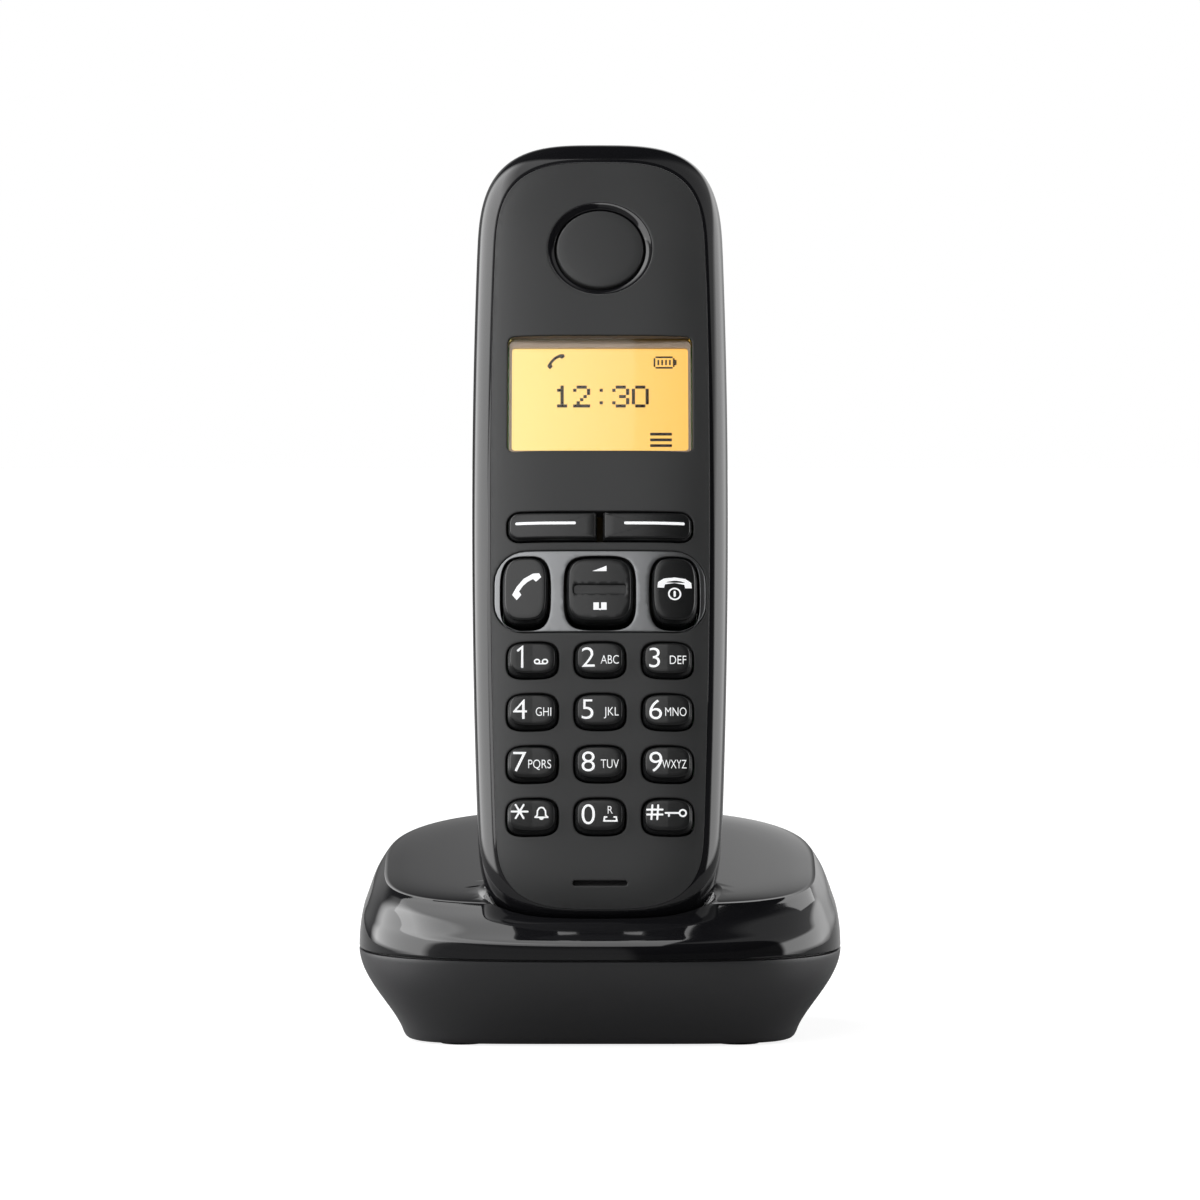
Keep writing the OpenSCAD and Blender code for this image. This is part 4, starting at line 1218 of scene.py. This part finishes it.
# Paging button, with a dished end, as (radius, y).
PAGING = ((4.2, 29.8), (4.2, 30.8), (3.5, 30.8), (3.5, 37.9), (3.42, 38.12), (3.25, 38.26),
          (3.0, 38.3), (2.4, 38.22), (1.6, 38.05), (0.8, 37.95))
rings = [round_loop(PAGE_X, y, PAGE_Z, r, False) for r, y in PAGING]
build("paging_button_cap", loft(rings), "paging_button", "paging_button",
      SLOT_OF["paging_button"])

# ------------------------------------------------------------------ carried-over nodes
for name, obj in nodes.items():
    if obj.hide_render:
        continue
    obj.data.materials.clear()
    obj.data.materials.append(BY_SLOT[SLOT_OF[name]])
    obj.data.shade_smooth()
    obj.data.set_sharp_from_angle(angle=radians(32))

# ------------------------------------------------------------------ floor, light, camera
FLOOR_HALF = 4.0
floor = bpy.data.objects.new("floor", bpy.data.meshes.new("floor"))
floor.data.from_pydata([(x * FLOOR_HALF, y * FLOOR_HALF, 0)
                        for x, y in ((-1, -1), (1, -1), (1, 1), (-1, 1))], [], [(0, 1, 2, 3)])
scene.collection.objects.link(floor)
paper = material("floor_pale_paper", (0.32, 0.32, 0.32), 0.9, vary=0.05, specular=0.1)
floor.data.materials.append(paper)
paper_tree = paper.node_tree
white = add(paper_tree, "Math", {1: 0.85},
            {0: add(paper_tree, "LightPath").outputs["Is Camera Ray"]})
white.operation = "MULTIPLY"
paper_tree.links.new(white.outputs["Value"], glow(paper, 0.0)["Emission Strength"])

world = bpy.data.worlds.new("studio")
scene.world = world
world.use_nodes = True
tree = world.node_tree
tree.nodes.clear()
split = add(tree, "SeparateXYZ", links={"Vector": add(tree, "TexCoord").outputs["Generated"]})
towards = add(tree, "Math", {1: -1}, {0: split.outputs["Y"]})
towards.operation = "MULTIPLY"
turn = add(tree, "Math", links={0: split.outputs["X"], 1: towards.outputs["Value"]})
turn.operation = "ARCTAN2"
around = add(tree, "MapRange", {"From Min": -pi, "From Max": pi}, {"Value": turn.outputs["Value"]})


def graded(source, stations, scale=1.0):
    """Brightness as a ramp over a 0..1 value; stations are (position, level up to scale)."""
    ramp = add(tree, "ValToRGB", links={"Fac": source})
    marks = ramp.color_ramp.elements
    marks.remove(marks[-1])
    for i, (at, level) in enumerate(stations):
        stop = marks[0] if i == 0 else marks.new(at)
        stop.position = at
        stop.color = (level / scale, level / scale, level / scale, 1)
    return ramp.outputs["Color"]


def turned_to(*stations):
    return [((angle + 180) / 360, level) for angle, level in stations]


# Brightness round the object in degrees, 0 towards the camera and positive to the right:
# a wide light on the left and in front, a strip on the right, and a low one behind.
BRIGHT = 6.0
LIGHTS = (
    # left
    (((-180, 0), (-140, 0.05), (-128, 4.3), (-67, 4.3), (-59, 0.5), (-50, 0.3), (1.4, 0.3),
      (2.4, 0)),
     ((0, 0.3), (0.06, 1), (0.84, 1), (0.95, 0.3))),
    # right
    (((-180, 0.05), (0, 0.05), (70, 0.08), (74, 3.9), (125, 3.3), (145, 0.4), (160, 0.05)),
     ((0, 0.3), (0.06, 1), (0.46, 1), (0.56, 0.2), (1, 0.1))),
    # behind and low
    (((-180, 0.75), (-178, 0.45), (-150, 0.35), (-125, 0), (125, 0), (140, 1.6), (170, 1.6),
      (178, 1.2), (180, 0.75)),
     ((0, 0.2), (0.1, 0.5), (0.40, 1), (0.47, 0.7), (0.56, 0.2), (0.64, 0))),
)
total = None
for round_it, upwards in LIGHTS:
    part = blend(tree, "MULTIPLY",
                 graded(around.outputs["Result"], turned_to(*round_it), BRIGHT),
                 graded(split.outputs["Z"], upwards))
    total = blend(tree, "ADD", total, part) if total else part
light = add(tree, "Background", {"Strength": BRIGHT}, {"Color": total})
plain_white = add(tree, "Background", {"Color": (1, 1, 1, 1)})
both = add(tree, "MixShader", links={
    "Fac": add(tree, "LightPath").outputs["Is Camera Ray"],
    1: light.outputs["Background"], 2: plain_white.outputs["Background"]})
add(tree, "OutputWorld", links={"Surface": both.outputs["Shader"]})


def box_light(name, left, right, lift, away, spread, radiance):
    """A softbox behind and above the base: it spans left to right, at an angle and a distance
    from the base, and its power is radiance * pi * area."""
    w, h = right - left, 2 * away * sin(radians(spread))
    lamp = bpy.data.lights.new(name, "AREA")
    lamp.shape = "RECTANGLE"
    lamp.size, lamp.size_y = w, h
    lamp.energy = radiance * pi * w * h
    obj = bpy.data.objects.new(name, lamp)
    scene.collection.objects.link(obj)
    x = (left + right) / 2
    at = Vector((x, away * cos(radians(lift)) - 0.03, away * sin(radians(lift)) + 0.02))
    obj.location = at
    obj.rotation_euler = (Vector((x, -0.03, 0.02)) - at).to_track_quat("-Z", "Y").to_euler()
    return obj


def linked(name, *objects):
    group = bpy.data.collections.new(name)
    for obj in objects:
        group.objects.link(obj)
    return group


# Two boxes light the upper shell alone, and a third lights all but the base's shells.
only_upper = linked("lit_by_boxes", upper)
shading_upper = linked("shading_boxes", upper)
for lamp in (box_light("top_box", -1.0, 0.085, 80, 1.1, 24, 2.3),
             box_light("side_box", 0.30, 0.80, 50, 1.1, 14, 2.4)):
    lamp.light_linking.receiver_collection = only_upper
    lamp.light_linking.blocker_collection = shading_upper
front_box = box_light("front_box", -1.4, 0.035, 134, 1.2, 14, 3.0)
not_lit = linked("not_lit_by_front_box", upper, lower)
for member in not_lit.collection_objects:
    member.light_linking.link_state = "EXCLUDE"
front_box.light_linking.receiver_collection = not_lit

lens = bpy.data.cameras.new("camera")
lens.sensor_width = 36
lens.lens = 235
lens.clip_start, lens.clip_end = 0.1, 20
camera = bpy.data.objects.new("camera", lens)
scene.collection.objects.link(camera)
CAMERA_DROP = 2.49                       # degrees below level
camera.location = (0, -1.49838, 0.14761)
camera.rotation_euler = (radians(90 - CAMERA_DROP), 0, 0)
scene.camera = camera
scene.view_settings.view_transform = "Standard"
